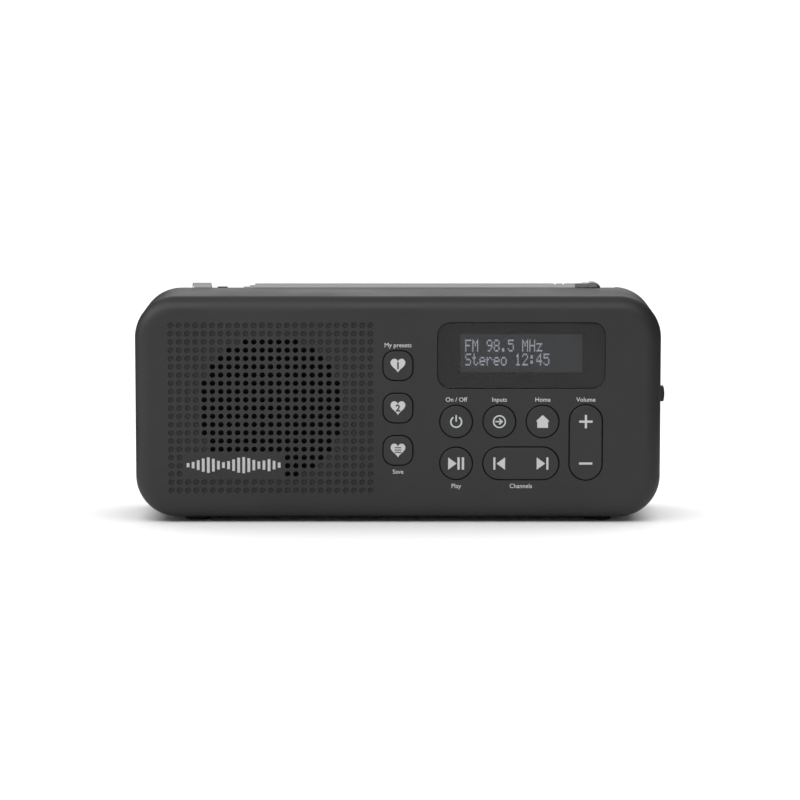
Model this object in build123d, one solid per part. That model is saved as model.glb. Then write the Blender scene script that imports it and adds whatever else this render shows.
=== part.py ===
from build123d import *
import os

os.makedirs("parts", exist_ok=True)

# A portable tabletop radio: a two-shell moulded case, a full-range speaker behind a perforated panel,
# a character display, nine keys, four AA cells behind a rear door and a telescopic aerial that lies in
# a notch along the top rear edge. Millimetres, +Z up, the front faces -Y. The origin is on the plane
# that the radio stands on, under the middle of the case.

# ---- Case ----
CASE_WIDTH = 182.0
CASE_HEIGHT = 77.0
CASE_DEPTH = 44.5
CORNER_R = 14.5
FRONT_EDGE_R = 5.5
REAR_EDGE_R = 5.0
WALL = 2.2
FRONT_SHELL_DEPTH = 28.0
LIP_LENGTH = 1.5
LIP_THICKNESS = 0.9
LIP_GAP = 0.1

FOOT_R = 4.5
FOOT_HEIGHT = 1.5
FOOT_RECESS = 0.8
FOOT_EDGE_X = 21.0
FOOT_EDGE_Y = 11.25

LEFT = -CASE_WIDTH / 2
RIGHT = CASE_WIDTH / 2
FRONT = -CASE_DEPTH / 2
BACK = CASE_DEPTH / 2
BASE = FOOT_HEIGHT
TOP = BASE + CASE_HEIGHT
CASE_Z = BASE + CASE_HEIGHT / 2
PANEL_BACK = FRONT + WALL
REAR_INSIDE = BACK - WALL
SPLIT = FRONT + FRONT_SHELL_DEPTH

# ---- Case screws and the posts they join ----
CASE_SCREW_R = 1.2
CASE_SCREW_HEAD_R = 2.8
CASE_SCREW_HEAD = 2.0
CASE_SCREW_LENGTH = 12.0
POST_R = 3.0
POST_PAST_SPLIT = 1.65
POST_GAP = 0.1
SCREW_TUBE_WALL = 1.1
SCREW_TUBE_FLOOR = 1.5
PILOT_GAP = 0.05
HEAD_GAP = 0.3
CASE_SCREW_PLACES = [
    (LEFT + 6.5, BASE + 14.5),
    (LEFT + 6.5, TOP - 16.5),
    (LEFT + 75.2, BASE + 6.7),
    (RIGHT - 6.0, BASE + 28.5),
    (RIGHT - 6.0, TOP - 16.5),
]

# ---- Speaker grille: a grid of small round holes, open in a disc over the driver, blind around it ----
GRILLE_X = LEFT + 47.1
GRILLE_Z = BASE + 38.55
GRILLE_PITCH = 2.87
GRILLE_COLUMNS = 25
GRILLE_ROWS = 21
GRILLE_HOLE_R = 0.95
GRILLE_BLIND_DEPTH = 0.6
GRILLE_OPEN_PITCHES = 8.7
BADGE_ROWS = range(16, 19)
BADGE_COLUMNS = range(2, 14)

# ---- Speaker ----
CLOTH_R = 26.5
CLOTH_THICKNESS = 0.2
GASKET_R = 27.0
GASKET_HOLE_R = 25.0
GASKET_THICKNESS = 0.6
BASKET_SIDE = 56.0
BASKET_CORNER = 8.0
BASKET_FLANGE = 1.0
BASKET_MOUTH_R = 24.5
BASKET_DEPTH = 12.0
BASKET_WALL = 0.8
BASKET_WINDOW_WIDTH = 14.0
SPEAKER_SCREW_OFFSET = 23.8
SPEAKER_SCREW_R = 0.9
SPEAKER_SCREW_HEAD_R = 1.8
SPEAKER_SCREW_HEAD = 1.2
SPEAKER_SCREW_BITE = 1.9
SPEAKER_POST_R = 2.4
MAGNET_R = 16.0
MAGNET_HOLE_R = 8.4
MAGNET_THICKNESS = 8.0
YOKE_PLATE = 2.0
POLE_R = 6.3
COIL_R = 7.3
COIL_WALL = 0.5
COIL_LENGTH = 9.0
CONE_R = 20.4
CONE_DEPTH = 7.0
CONE_WALL = 0.5
SURROUND_HEIGHT = 1.6

# ---- Keys: each cap stands a little proud and has a flange behind the panel ----
KEY_PITCH = 14.93
KEY_ROW_PITCH = 14.6
FIRST_KEY_X = RIGHT - 70.9
LOWER_KEY_Z = BASE + 19.3
UPPER_KEY_Z = LOWER_KEY_Z + KEY_ROW_PITCH
KEY_R = 5.5
KEY_GAP = 0.35
KEY_PROUD = 0.25
KEY_EDGE_R = 0.3
KEY_FLANGE = 0.8
KEY_FLANGE_REACH = 0.7
KEY_PLAY = 0.05
KEY_STEM_R = 2.0
KEY_STEM_LENGTH = 0.9
PRESET_X = RIGHT - 91.0
PRESET_Z = BASE + 23.8
PRESET_PITCH = 14.76
PRESET_SIDE = 10.0
PRESET_CORNER = 3.7
ROCKER_LENGTH = 26.0
ROCKER_WIDTH = 11.1
ROCKER_PLAY = 0.2
ROCKER_TAB = 3.0
STATION_X = FIRST_KEY_X + 1.5 * KEY_PITCH
VOLUME_X = FIRST_KEY_X + 3 * KEY_PITCH
VOLUME_Z = LOWER_KEY_Z + KEY_ROW_PITCH / 2

# ---- Main board and the rubber keypad on it ----
BOARD_FROM_PANEL = 6.05
BOARD_THICKNESS = 1.6
BOARD_LEFT = RIGHT - 103.0
BOARD_RIGHT = RIGHT - 11.0
BOARD_BOTTOM = BASE + 6.5
BOARD_HEIGHT = 64.0
BOARD_FRONT = PANEL_BACK + BOARD_FROM_PANEL
BOARD_BACK = BOARD_FRONT + BOARD_THICKNESS
BOARD_TOP = BOARD_BOTTOM + BOARD_HEIGHT
BOARD_POST_R = 2.6
BOARD_SCREW_INSET_LEFT = 2.8
BOARD_SCREW_INSET_RIGHT = 4.0
BOARD_SCREW_INSET_LOW = 4.0
BOARD_SCREW_INSET_HIGH = 5.0
SMALL_SCREW_R = 0.95
SMALL_SCREW_HEAD_R = 2.0
SMALL_SCREW_HEAD = 1.3
SMALL_SCREW_LENGTH = 5.0
MAT_THICKNESS = 1.0
MAT_MARGIN = 2.4
DOME_BASE_R = 3.4
DOME_TOP_R = 2.3
DOME_GAP = 0.05

# ---- Display ----
LENS_WIDTH = 57.4
LENS_HEIGHT = 22.5
LENS_CORNER = 4.25
LENS_THICKNESS = 1.2
LENS_GAP = 0.25
LENS_SUNK = 0.05
LENS_X = RIGHT - 48.45
LENS_Z = BASE + 56.8
WINDOW_WIDTH = 44.0
WINDOW_HEIGHT = 15.0
WINDOW_RISE = 0.6
LCD_MARGIN = 3.0
LCD_MARGIN_Z = 2.5
LCD_THICKNESS = 2.0
LCD_FROM_PANEL = 0.3
LCD_FRAME_WALL = 2.0
LCD_FRAME_GAP = 0.2
GUIDE_THICKNESS = 2.6
STRIP_HEIGHT = 1.8

# ---- Lock slider on the right-hand side ----
SLIDER_Y = PANEL_BACK + 11.55
SLIDER_Z = BASE + 42.1
SLIDER_TRAVEL = 2.0
SLIDER_LENGTH = 5.3
SLIDER_WIDTH = 3.4
SLIDER_PROUD = 1.8
SLIDER_END_PROUD = 1.45
SLIDER_NECK_LENGTH = 4.9
SLIDER_NECK_WIDTH = 2.8
SLIDER_GAP = 0.2
SLIDER_FLANGE = 1.2
SLIDER_OVERLAP = 0.9
SLIDER_LEVER_R = 0.9
SWITCH_WIDTH = 5.6
SWITCH_HEIGHT = 12.0
SWITCH_SLOT_DEPTH = 3.0

# ---- Cells, tray and rear door ----
CELL_COUNT = 4
CELL_R = 7.25
CELL_LENGTH = 50.5
CELL_NUB_R = 2.7
CELL_NUB = 1.3
CELL_GAP = 0.5
CELL_SIDE_GAP = 0.15
SPRING_LENGTH = 5.0
SPRING_R = 4.2
SPRING_TIP_R = 2.4
SPRING_WIRE = 0.7
CONTACT_THICKNESS = 0.4
CONTACT_SIDE = 10.0
TRAY_WALL = 1.2
TRAY_INSIDE_LEFT = RIGHT - 89.2
TRAY_INSIDE_BOTTOM = BASE + 7.4
CELL_FROM_REAR = 1.3
TRAY_EAR_WIDTH = 5.2
TRAY_EAR_HEIGHT = 7.0
TRAY_EAR_INSET = 10.0
TRAY_EAR_THICKNESS = 1.5
TRAY_POST = 3.0
DOOR_MARGIN = 2.0
DOOR_THICKNESS = 1.0
DOOR_GAP = 0.2
DOOR_PAD_GAP = 0.4
DOOR_CORNER = 2.5
THUMB_NOTCH_R = 5.0
THUMB_NOTCH_DEPTH = 0.6

# ---- Rear sockets on their own small board ----
SOCKET_BOARD_Z = BASE + 9.5
SOCKET_BOARD_LEFT = RIGHT - 27.5
SOCKET_BOARD_WIDTH = 22.8
SOCKET_BOARD_DEPTH = 12.6
SOCKET_BOARD_GAP = 0.4
SOCKET_POST_R = 2.2
JACK_X = RIGHT - 10.0
JACK_R = 1.8
JACK_DEPTH = 13.5
JACK_BODY_WIDTH = 7.0
JACK_BODY_HEIGHT = 6.4
JACK_BODY_LENGTH = 12.0
JACK_NOSE_R = 2.9
JACK_NOSE_SUNK = 0.25
USB_X = RIGHT - 20.2
USB_WIDTH = 8.94
USB_HEIGHT = 3.26
USB_LENGTH = 7.4
USB_WALL = 0.3
USB_SUNK = 0.4
USB_TONGUE_WIDTH = 6.6
USB_TONGUE = 0.7
SOCKET_HOLE_GAP = 0.35

# ---- Telescopic aerial and the notch it lies in ----
AERIAL_FROM_BACK = 3.95
AERIAL_FROM_TOP = 1.4
AERIAL_Y = BACK - AERIAL_FROM_BACK
AERIAL_Z = TOP - AERIAL_FROM_TOP
PIVOT_X = RIGHT - 22.25
TUBE_R = 2.75
SECTION_2_R = 2.15
SECTION_3_R = 1.6
ROD_R = 1.05
TIP_R = 3.0
TIP_LENGTH = 7.0
AERIAL_FIT = 0.05
TUBE_SHOULDER = 13.35
TUBE_LENGTH = 106.1
SECTION_STEP_2 = 1.8
SECTION_STEP_3 = 2.2
ROD_SHOWING = 11.2
NEST_END = 4.0
NEST_STEP = 2.0
SPIGOT_LENGTH = 3.4
COLLAR_GROOVE = 0.6
COLLAR_GROOVE_DEPTH = 0.35
COLLAR_GROOVE_PITCH = 2.9
YOKE_SHANK = 6.05
KNUCKLE_R = 3.3
YOKE_HALF_HEIGHT = 2.9
YOKE_WIDTH = 5.4
LUG_WIDTH = 2.4
LUG_R = 2.7
LUG_GAP = 0.15
FORK_ROOT = 3.5
PIN_R = 1.0
PIN_END_R = 1.6
PIN_END = 0.3
POST_STEM_R = 3.0
POST_FLANGE_R = 3.6
POST_FLANGE = 0.7
POST_FLANGE_SUNK = 0.5
POST_BOSS_R = 5.6
POST_BOSS_DEPTH = 4.9
TAG_R = 5.0
TAG_THICKNESS = 0.4
TAG_TAIL = 4.0
STEM_PAST_TAG = 0.1
AERIAL_SCREW_R = 1.25
AERIAL_SCREW_HEAD_R = 3.5
AERIAL_SCREW_HEAD = 1.0
AERIAL_SCREW_LENGTH = 3.5
NOTCH_SIDE_GAP = 0.3
NOTCH_FLOOR_GAP = 0.4
NOTCH_END_X = RIGHT - 14.0
SWING_GAP = 0.3
REST_LENGTH = 3.5
REST_GAP = 0.3
REST_PROUD = 0.3
REST_FROM_TIP = 2.0

# ---- Parts on the board: left and low side from the board's corner, width, height, thickness ----
TUNER_CAN = (32, 34, 30, 24, 3.4)
CHIPS = [(12, 30, 14, 14, 1.4), (16, 12, 9, 7, 1.5), (42, 12, 7, 9, 1.5)]
CAPACITOR_R = 4.0
CAPACITOR_HEIGHT = 11.0
CAPACITOR_PLACES = [(30, 12), (56, 20), (56, 9)]
CONNECTOR_WIDTH = 5.0
CONNECTOR_HEIGHT = 7.5
CONNECTOR_DEPTH = 5.5
SPEAKER_CONNECTOR = (3.5, 24)
POWER_CONNECTOR = (3.5, 42)
AERIAL_CONNECTOR = (78.2, 52)

# ---- Leads ----
WIRE_R = 0.55
WIRE_BEND = 3.0
TIGHT_BEND = 2.0
LEAD_FROM_SIDE = 1.4
LEAD_STEP_X = 2.2
LEAD_STEP_Z = 3.0
SPEAKER_LEAD_UP = 1.8
SPEAKER_LEAD_OUT = 6.0
SPEAKER_LEAD_DROP = 4.0
SPEAKER_LEAD_INSET = 1.8
POWER_LEAD_UP = 2.5
POWER_LEAD_BEHIND = 3.5
POWER_LEAD_STEP = 1.6


# ---- Ways of giving a sketch its thickness ----
def across(sketch, y_front, y_back):
    """A front-view sketch (X right, Z up), solid from y_front back to y_back."""
    return extrude(Plane.XZ.offset(-y_back) * sketch, amount=y_back - y_front)


def upright(sketch, z_low, z_high):
    """A plan sketch (X right, Y back), solid from z_low up to z_high."""
    return extrude(Plane.XY.offset(z_low) * sketch, amount=z_high - z_low)


def lengthwise(sketch, x_left, x_right):
    """A side-view sketch (Y back, Z up), solid from x_left to x_right."""
    return extrude(Plane.YZ.offset(x_left) * sketch, amount=x_right - x_left)


def block(xs, ys, zs):
    """A box between pairs of X, Y and Z limits."""
    middle = [(low + high) / 2 for low, high in (xs, ys, zs)]
    sides = [high - low for low, high in (xs, ys, zs)]
    return Pos(*middle) * Box(*sides)


def turned(points, x, z):
    """A profile of (radius, y) points turned about the Y-wise axis through (x, z)."""
    profile = make_face(Polyline(*points, close=True))
    return Pos(x, 0, z) * revolve(profile, Axis.Y)


def turned_along_x(points, y, z):
    """A profile of (x, radius) points turned about the X-wise axis through (y, z)."""
    profile = make_face(Polyline(*points, close=True))
    return Pos(0, y, z) * revolve(profile, Axis.X)


def screw(seat, into, head_r, head_height, shank_r, length):
    """A cross-head screw: the head sits on seat and the shank runs the way of into."""
    plane = Plane(origin=seat, z_dir=into)
    cross = Rectangle(1.3 * head_r, 0.35 * shank_r) + Rectangle(0.35 * shank_r, 1.3 * head_r)
    shank = extrude(plane * Circle(shank_r), amount=length)
    head = extrude(plane * Circle(head_r), amount=-head_height)
    recess = extrude(plane.offset(-head_height) * cross, amount=0.6 * head_height)
    return shank + head - recess


def wire(points, bend=WIRE_BEND):
    """An insulated wire along straight runs joined by round bends."""
    path = FilletPolyline(*points, radius=bend)
    return sweep(Plane(origin=path @ 0, z_dir=path % 0) * Circle(WIRE_R), path=path)


def save(name, *pieces):
    """Writes one node; several pieces stay separate solids."""
    solids = [solid for piece in pieces for solid in piece.solids()]
    node = solids[0] if len(solids) == 1 else Compound(children=solids)
    node.label = name
    export_step(node, f"parts/{name}.step")


# ---- Case outline ----
def outline(inset):
    side = CASE_WIDTH - 2 * inset
    height = CASE_HEIGHT - 2 * inset
    return Pos(0, CASE_Z) * RectangleRounded(side, height, CORNER_R - inset)


def loaf(inset):
    """The case's rounded block, taken in by inset all round."""
    body = across(outline(inset), FRONT + inset, BACK - inset)
    body = fillet(body.faces().sort_by(Axis.Y)[0].edges(), FRONT_EDGE_R - inset)
    return fillet(body.faces().sort_by(Axis.Y)[-1].edges(), REAR_EDGE_R - inset)


FAR = CASE_WIDTH + CASE_DEPTH
outer = loaf(0)
hollow = loaf(WALL)
shell = outer - hollow

# ---- Keys: name, cap outline grown by a gap, centre ----


def round_cap(grow):
    return Circle(KEY_R + grow)


def preset_cap(grow):
    side = PRESET_SIDE + 2 * grow
    return RectangleRounded(side, side, PRESET_CORNER + grow)


def station_cap(grow):
    return SlotOverall(ROCKER_LENGTH + 2 * grow, ROCKER_WIDTH + 2 * grow)


def volume_cap(grow):
    return SlotOverall(ROCKER_LENGTH + 2 * grow, ROCKER_WIDTH + 2 * grow, rotation=90)


KEYS = {
    "preset_1_key": (preset_cap, PRESET_X, PRESET_Z + 2 * PRESET_PITCH),
    "preset_2_key": (preset_cap, PRESET_X, PRESET_Z + PRESET_PITCH),
    "add_key": (preset_cap, PRESET_X, PRESET_Z),
    "standby_key": (round_cap, FIRST_KEY_X, UPPER_KEY_Z),
    "source_key": (round_cap, FIRST_KEY_X + KEY_PITCH, UPPER_KEY_Z),
    "back_key": (round_cap, FIRST_KEY_X + 2 * KEY_PITCH, UPPER_KEY_Z),
    "select_key": (round_cap, FIRST_KEY_X, LOWER_KEY_Z),
}
ROCKERS = {
    "station_rocker": (station_cap, STATION_X, LOWER_KEY_Z, (KEY_PITCH / 2, 0)),
    "volume_rocker": (volume_cap, VOLUME_X, VOLUME_Z, (0, KEY_ROW_PITCH / 2)),
}
KEY_FRONT = FRONT - KEY_PROUD
FLANGE_FRONT = PANEL_BACK + KEY_PLAY
FLANGE_BACK = FLANGE_FRONT + KEY_FLANGE
STEM_END = FLANGE_BACK + KEY_STEM_LENGTH
stem_places = [(x, z) for _, x, z in KEYS.values()]
for _, x, z, (dx, dz) in ROCKERS.values():
    stem_places += [(x - dx, z - dz), (x + dx, z + dz)]


def cap_block(sketch, x, z, y_back):
    """A key cap with its front edge rounded."""
    cap = across(Pos(x, z) * sketch, KEY_FRONT, y_back)
    return fillet(cap.faces().sort_by(Axis.Y)[0].edges(), KEY_EDGE_R)


def stem(x, z):
    return across(Pos(x, z) * Circle(KEY_STEM_R), FLANGE_BACK, STEM_END)


for name, (cap, x, z) in KEYS.items():
    flange = across(Pos(x, z) * cap(KEY_GAP + KEY_FLANGE_REACH), FLANGE_FRONT, FLANGE_BACK)
    save(name, cap_block(cap(0), x, z, FLANGE_BACK) + flange + stem(x, z))

for name, (cap, x, z, (dx, dz)) in ROCKERS.items():
    # The retaining tabs stand at the pivot only, where the cap hardly moves.
    reach = ROCKER_WIDTH + 2 * (KEY_GAP + KEY_FLANGE_REACH)
    tab = Rectangle(ROCKER_TAB, reach) if dx else Rectangle(reach, ROCKER_TAB)
    tabs = across(Pos(x, z) * tab, PANEL_BACK + ROCKER_PLAY, FLANGE_BACK)
    stems = stem(x - dx, z - dz) + stem(x + dx, z + dz)
    save(name, cap_block(cap(0), x, z, FLANGE_BACK) + tabs + stems)

# ---- Front shell: the perforated panel, the key holes, the lens seat and the posts behind ----
front_shell = shell & block((-FAR, FAR), (-FAR, SPLIT), (-FAR, FAR))
rebate = outline(WALL - LIP_THICKNESS - LIP_GAP) - outline(WALL)
front_shell -= across(rebate, SPLIT - LIP_LENGTH - LIP_GAP, SPLIT)

POST_END = SPLIT + POST_PAST_SPLIT
for x, z in CASE_SCREW_PLACES:
    front_shell += across(Pos(x, z) * Circle(POST_R), PANEL_BACK - WALL / 2, POST_END)

board_screw_places = [
    (x, z)
    for x in (BOARD_LEFT + BOARD_SCREW_INSET_LEFT, BOARD_RIGHT - BOARD_SCREW_INSET_RIGHT)
    for z in (BOARD_BOTTOM + BOARD_SCREW_INSET_LOW, BOARD_TOP - BOARD_SCREW_INSET_HIGH)
]
for x, z in board_screw_places:
    front_shell += across(Pos(x, z) * Circle(BOARD_POST_R), PANEL_BACK - WALL / 2, BOARD_FRONT)

GASKET_FRONT = PANEL_BACK + CLOTH_THICKNESS
BASKET_FRONT = GASKET_FRONT + GASKET_THICKNESS
speaker_screw_places = [
    (GRILLE_X + dx, GRILLE_Z + dz)
    for dx in (-SPEAKER_SCREW_OFFSET, SPEAKER_SCREW_OFFSET)
    for dz in (-SPEAKER_SCREW_OFFSET, SPEAKER_SCREW_OFFSET)
]
for x, z in speaker_screw_places:
    front_shell += across(Pos(x, z) * Circle(SPEAKER_POST_R), PANEL_BACK - WALL / 2, BASKET_FRONT)

LENS_BACK = FRONT + LENS_SUNK + LENS_THICKNESS
WINDOW_Z = LENS_Z + WINDOW_RISE
openings = [across(Pos(x, z) * cap(KEY_GAP), FRONT - WALL, PANEL_BACK + WALL) for cap, x, z in KEYS.values()]
openings += [
    across(Pos(x, z) * cap(KEY_GAP), FRONT - WALL, PANEL_BACK + WALL) for cap, x, z, _ in ROCKERS.values()
]
lens_seat = RectangleRounded(LENS_WIDTH + 2 * LENS_GAP, LENS_HEIGHT + 2 * LENS_GAP, LENS_CORNER + LENS_GAP)
openings.append(across(Pos(LENS_X, LENS_Z) * lens_seat, FRONT - WALL, LENS_BACK))
window = Pos(LENS_X, WINDOW_Z) * Rectangle(WINDOW_WIDTH, WINDOW_HEIGHT)
openings.append(across(window, FRONT, PANEL_BACK + WALL))
for x, z in CASE_SCREW_PLACES:
    pilot = Pos(x, z) * Circle(CASE_SCREW_R + PILOT_GAP)
    openings.append(across(pilot, POST_END - CASE_SCREW_LENGTH, POST_END + WALL))
for x, z in board_screw_places:
    pilot = Pos(x, z) * Circle(SMALL_SCREW_R + PILOT_GAP)
    openings.append(across(pilot, BOARD_BACK - SMALL_SCREW_LENGTH - WALL / 4, BOARD_BACK))
for x, z in speaker_screw_places:
    pilot = Pos(x, z) * Circle(SPEAKER_SCREW_R + PILOT_GAP)
    openings.append(across(pilot, BASKET_FRONT - SPEAKER_SCREW_BITE - PILOT_GAP, BASKET_FRONT + WALL))

slot_length = SLIDER_NECK_LENGTH + SLIDER_TRAVEL + 2 * SLIDER_GAP
slot_z = SLIDER_Z + SLIDER_TRAVEL / 2
slot_width = SLIDER_NECK_WIDTH + 2 * SLIDER_GAP
slider_slot = Pos(SLIDER_Y, slot_z) * Rectangle(slot_width, slot_length)
openings.append(lengthwise(slider_slot, RIGHT - 2 * WALL, RIGHT + WALL))


def foot_places(y):
    return [(side * (CASE_WIDTH / 2 - FOOT_EDGE_X), y) for side in (-1, 1)]


FRONT_FEET = foot_places(FRONT + FOOT_EDGE_Y)
REAR_FEET = foot_places(BACK - FOOT_EDGE_Y)


def foot_recesses(places):
    return [upright(Pos(x, y) * Circle(FOOT_R), BASE - WALL, BASE + FOOT_RECESS) for x, y in places]


grid = [(column, row) for column in range(GRILLE_COLUMNS) for row in range(GRILLE_ROWS)]
middle_column = (GRILLE_COLUMNS - 1) / 2
middle_row = (GRILLE_ROWS - 1) / 2
for column, row in grid:
    if row in BADGE_ROWS and column in BADGE_COLUMNS:
        continue
    dx = column - middle_column
    dz = middle_row - row
    is_open = (dx**2 + dz**2) ** 0.5 <= GRILLE_OPEN_PITCHES
    depth_end = PANEL_BACK + WALL if is_open else FRONT + GRILLE_BLIND_DEPTH
    hole = Pos(GRILLE_X + dx * GRILLE_PITCH, GRILLE_Z + dz * GRILLE_PITCH) * Circle(GRILLE_HOLE_R)
    openings.append(across(hole, FRONT - WALL, depth_end))
front_shell = front_shell.cut(*openings, *foot_recesses(FRONT_FEET))
save("front_shell", front_shell)

# ---- Rear shell: the lip, the aerial notch, the screw tubes, the door opening and the socket holes ----
rear_shell = shell & block((-FAR, FAR), (SPLIT, FAR), (-FAR, FAR))
lip = outline(WALL - LIP_THICKNESS) - outline(WALL)
rear_shell += across(lip, SPLIT - LIP_LENGTH, SPLIT + WALL / 2)

NOTCH_Y = AERIAL_Y - max(TUBE_R, TIP_R) - NOTCH_SIDE_GAP
NOTCH_FLOOR = AERIAL_Z - max(KNUCKLE_R, TIP_R) - NOTCH_FLOOR_GAP
notch_walls = block((-FAR, NOTCH_END_X + WALL), (NOTCH_Y - WALL, FAR), (NOTCH_FLOOR - WALL, FAR))
BOSS_BOTTOM = NOTCH_FLOOR - POST_BOSS_DEPTH
post_boss = upright(Pos(PIVOT_X, AERIAL_Y) * Circle(POST_BOSS_R), BOSS_BOTTOM, NOTCH_FLOOR)
# The corners of the fork sweep this circle when the aerial stands upright and turns.
SWING_R = (KNUCKLE_R**2 + (YOKE_WIDTH / 2) ** 2) ** 0.5 + SWING_GAP
swing_wall = upright(Pos(PIVOT_X, AERIAL_Y) * Circle(SWING_R + WALL / 2), NOTCH_FLOOR - WALL, TOP)
rear_shell += (notch_walls + post_boss + swing_wall) & outer

TUBE_FRONT = POST_END + POST_GAP
HEAD_SEAT = TUBE_FRONT + SCREW_TUBE_FLOOR
for x, z in CASE_SCREW_PLACES:
    tube = Pos(x, z) * Circle(CASE_SCREW_HEAD_R + HEAD_GAP + SCREW_TUBE_WALL)
    rear_shell += across(tube, TUBE_FRONT, BACK - WALL / 2) & outer

CELL_PITCH = 2 * CELL_R + CELL_GAP
TRAY_INSIDE_RIGHT = TRAY_INSIDE_LEFT + CELL_LENGTH + SPRING_LENGTH + 2 * CONTACT_THICKNESS
TRAY_INSIDE_TOP = TRAY_INSIDE_BOTTOM + CELL_COUNT * CELL_PITCH - CELL_GAP + 2 * CELL_SIDE_GAP
CELL_Y = REAR_INSIDE - CELL_FROM_REAR - CELL_R
TRAY_INSIDE_FRONT = CELL_Y - CELL_R - CELL_SIDE_GAP
tray_ear_z = [TRAY_INSIDE_BOTTOM + TRAY_EAR_INSET, TRAY_INSIDE_TOP - TRAY_EAR_INSET]
tray_ear_x = [
    TRAY_INSIDE_LEFT - TRAY_WALL - TRAY_EAR_WIDTH / 2,
    TRAY_INSIDE_RIGHT + TRAY_WALL + TRAY_EAR_WIDTH / 2,
]
tray_screw_places = [(x, z) for x in tray_ear_x for z in tray_ear_z]
EAR_BACK = REAR_INSIDE - TRAY_POST
for x, z in tray_screw_places:
    rear_shell += across(Pos(x, z) * Circle(SOCKET_POST_R), EAR_BACK, BACK - WALL / 2)

SOCKET_BOARD_BACK = REAR_INSIDE - SOCKET_BOARD_GAP
SOCKET_BOARD_FRONT = SOCKET_BOARD_BACK - SOCKET_BOARD_DEPTH
socket_screw_y = SOCKET_BOARD_FRONT + SOCKET_POST_R
socket_screw_places = [
    (SOCKET_BOARD_LEFT + SOCKET_POST_R, socket_screw_y),
    (SOCKET_BOARD_LEFT + SOCKET_BOARD_WIDTH / 2, socket_screw_y),
]
for x, y in socket_screw_places:
    rear_shell += upright(Pos(x, y) * Circle(SOCKET_POST_R), BASE + WALL / 2, SOCKET_BOARD_Z)

BOARD_DECK = SOCKET_BOARD_Z + BOARD_THICKNESS
JACK_Z = BOARD_DECK + JACK_BODY_HEIGHT / 2
USB_Z = BOARD_DECK + USB_HEIGHT / 2
DOOR_LEFT = TRAY_INSIDE_LEFT - DOOR_MARGIN
DOOR_RIGHT = TRAY_INSIDE_RIGHT + DOOR_MARGIN
DOOR_BOTTOM = TRAY_INSIDE_BOTTOM - DOOR_MARGIN
DOOR_TOP = TRAY_INSIDE_TOP + DOOR_MARGIN
DOOR_X = (DOOR_LEFT + DOOR_RIGHT) / 2
DOOR_Z = (DOOR_BOTTOM + DOOR_TOP) / 2
DOOR_SEAT = BACK - DOOR_THICKNESS


def door_outline(inset):
    width = DOOR_RIGHT - DOOR_LEFT - 2 * inset
    height = DOOR_TOP - DOOR_BOTTOM - 2 * inset
    return Pos(DOOR_X, DOOR_Z) * RectangleRounded(width, height, DOOR_CORNER)


notch = block((-FAR, NOTCH_END_X), (NOTCH_Y, FAR), (NOTCH_FLOOR, FAR))
swing_pocket = upright(Pos(PIVOT_X, AERIAL_Y) * Circle(SWING_R), NOTCH_FLOOR, TOP)
post_pocket = upright(
    Pos(PIVOT_X, AERIAL_Y) * Circle(POST_FLANGE_R + AERIAL_FIT), NOTCH_FLOOR - POST_FLANGE_SUNK, TOP
)
post_hole = upright(Pos(PIVOT_X, AERIAL_Y) * Circle(POST_STEM_R + AERIAL_FIT), BOSS_BOTTOM - WALL, TOP)
screw_pocket = upright(
    Pos(PIVOT_X, AERIAL_Y) * Circle(AERIAL_SCREW_HEAD_R + PILOT_GAP), BOSS_BOTTOM - WALL, BOSS_BOTTOM
)
door_way = Pos(DOOR_X, DOOR_Z) * Rectangle(
    TRAY_INSIDE_RIGHT - TRAY_INSIDE_LEFT, TRAY_INSIDE_TOP - TRAY_INSIDE_BOTTOM
)
thumb_notch = across(
    Pos(DOOR_X, DOOR_TOP) * Circle(THUMB_NOTCH_R), BACK - THUMB_NOTCH_DEPTH, BACK + WALL
)
rear_openings = [
    notch,
    swing_pocket,
    post_pocket,
    post_hole,
    screw_pocket,
    across(door_outline(0), DOOR_SEAT, BACK + WALL),
    across(door_way, REAR_INSIDE - WALL, BACK),
    across(Pos(JACK_X, JACK_Z) * Circle(JACK_NOSE_R + SOCKET_HOLE_GAP), REAR_INSIDE - WALL, BACK + WALL),
    across(
        Pos(USB_X, USB_Z) * SlotOverall(USB_WIDTH + 2 * SOCKET_HOLE_GAP, USB_HEIGHT + 2 * SOCKET_HOLE_GAP),
        REAR_INSIDE - WALL,
        BACK + WALL,
    ),
    thumb_notch,
]
for x, z in CASE_SCREW_PLACES:
    rear_openings.append(across(Pos(x, z) * Circle(CASE_SCREW_HEAD_R + HEAD_GAP), HEAD_SEAT, BACK + WALL))
    rear_openings.append(across(Pos(x, z) * Circle(CASE_SCREW_R + HEAD_GAP), SPLIT, BACK))
for x, z in tray_screw_places:
    pilot = Pos(x, z) * Circle(SMALL_SCREW_R + PILOT_GAP)
    rear_openings.append(across(pilot, EAR_BACK - WALL, EAR_BACK + SMALL_SCREW_LENGTH - WALL / 2))
for x, y in socket_screw_places:
    pilot = Pos(x, y) * Circle(SMALL_SCREW_R + PILOT_GAP)
    rear_openings.append(upright(pilot, BASE + WALL, SOCKET_BOARD_Z + WALL))
rear_shell = rear_shell.cut(*rear_openings, *foot_recesses(REAR_FEET))
save("rear_shell", rear_shell)

# ---- Feet and case screws ----
feet = []
for x, y in FRONT_FEET + REAR_FEET:
    foot = upright(Pos(x, y) * Circle(FOOT_R), 0, BASE + FOOT_RECESS)
    feet.append(fillet(foot.faces().sort_by(Axis.Z)[0].edges(), FOOT_HEIGHT / 3))
save("rubber_feet", *feet)

case_screws = [
    screw((x, HEAD_SEAT, z), (0, -1, 0), CASE_SCREW_HEAD_R, CASE_SCREW_HEAD, CASE_SCREW_R, CASE_SCREW_LENGTH)
    for x, z in CASE_SCREW_PLACES
]
save("case_screws", *case_screws)

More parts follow.
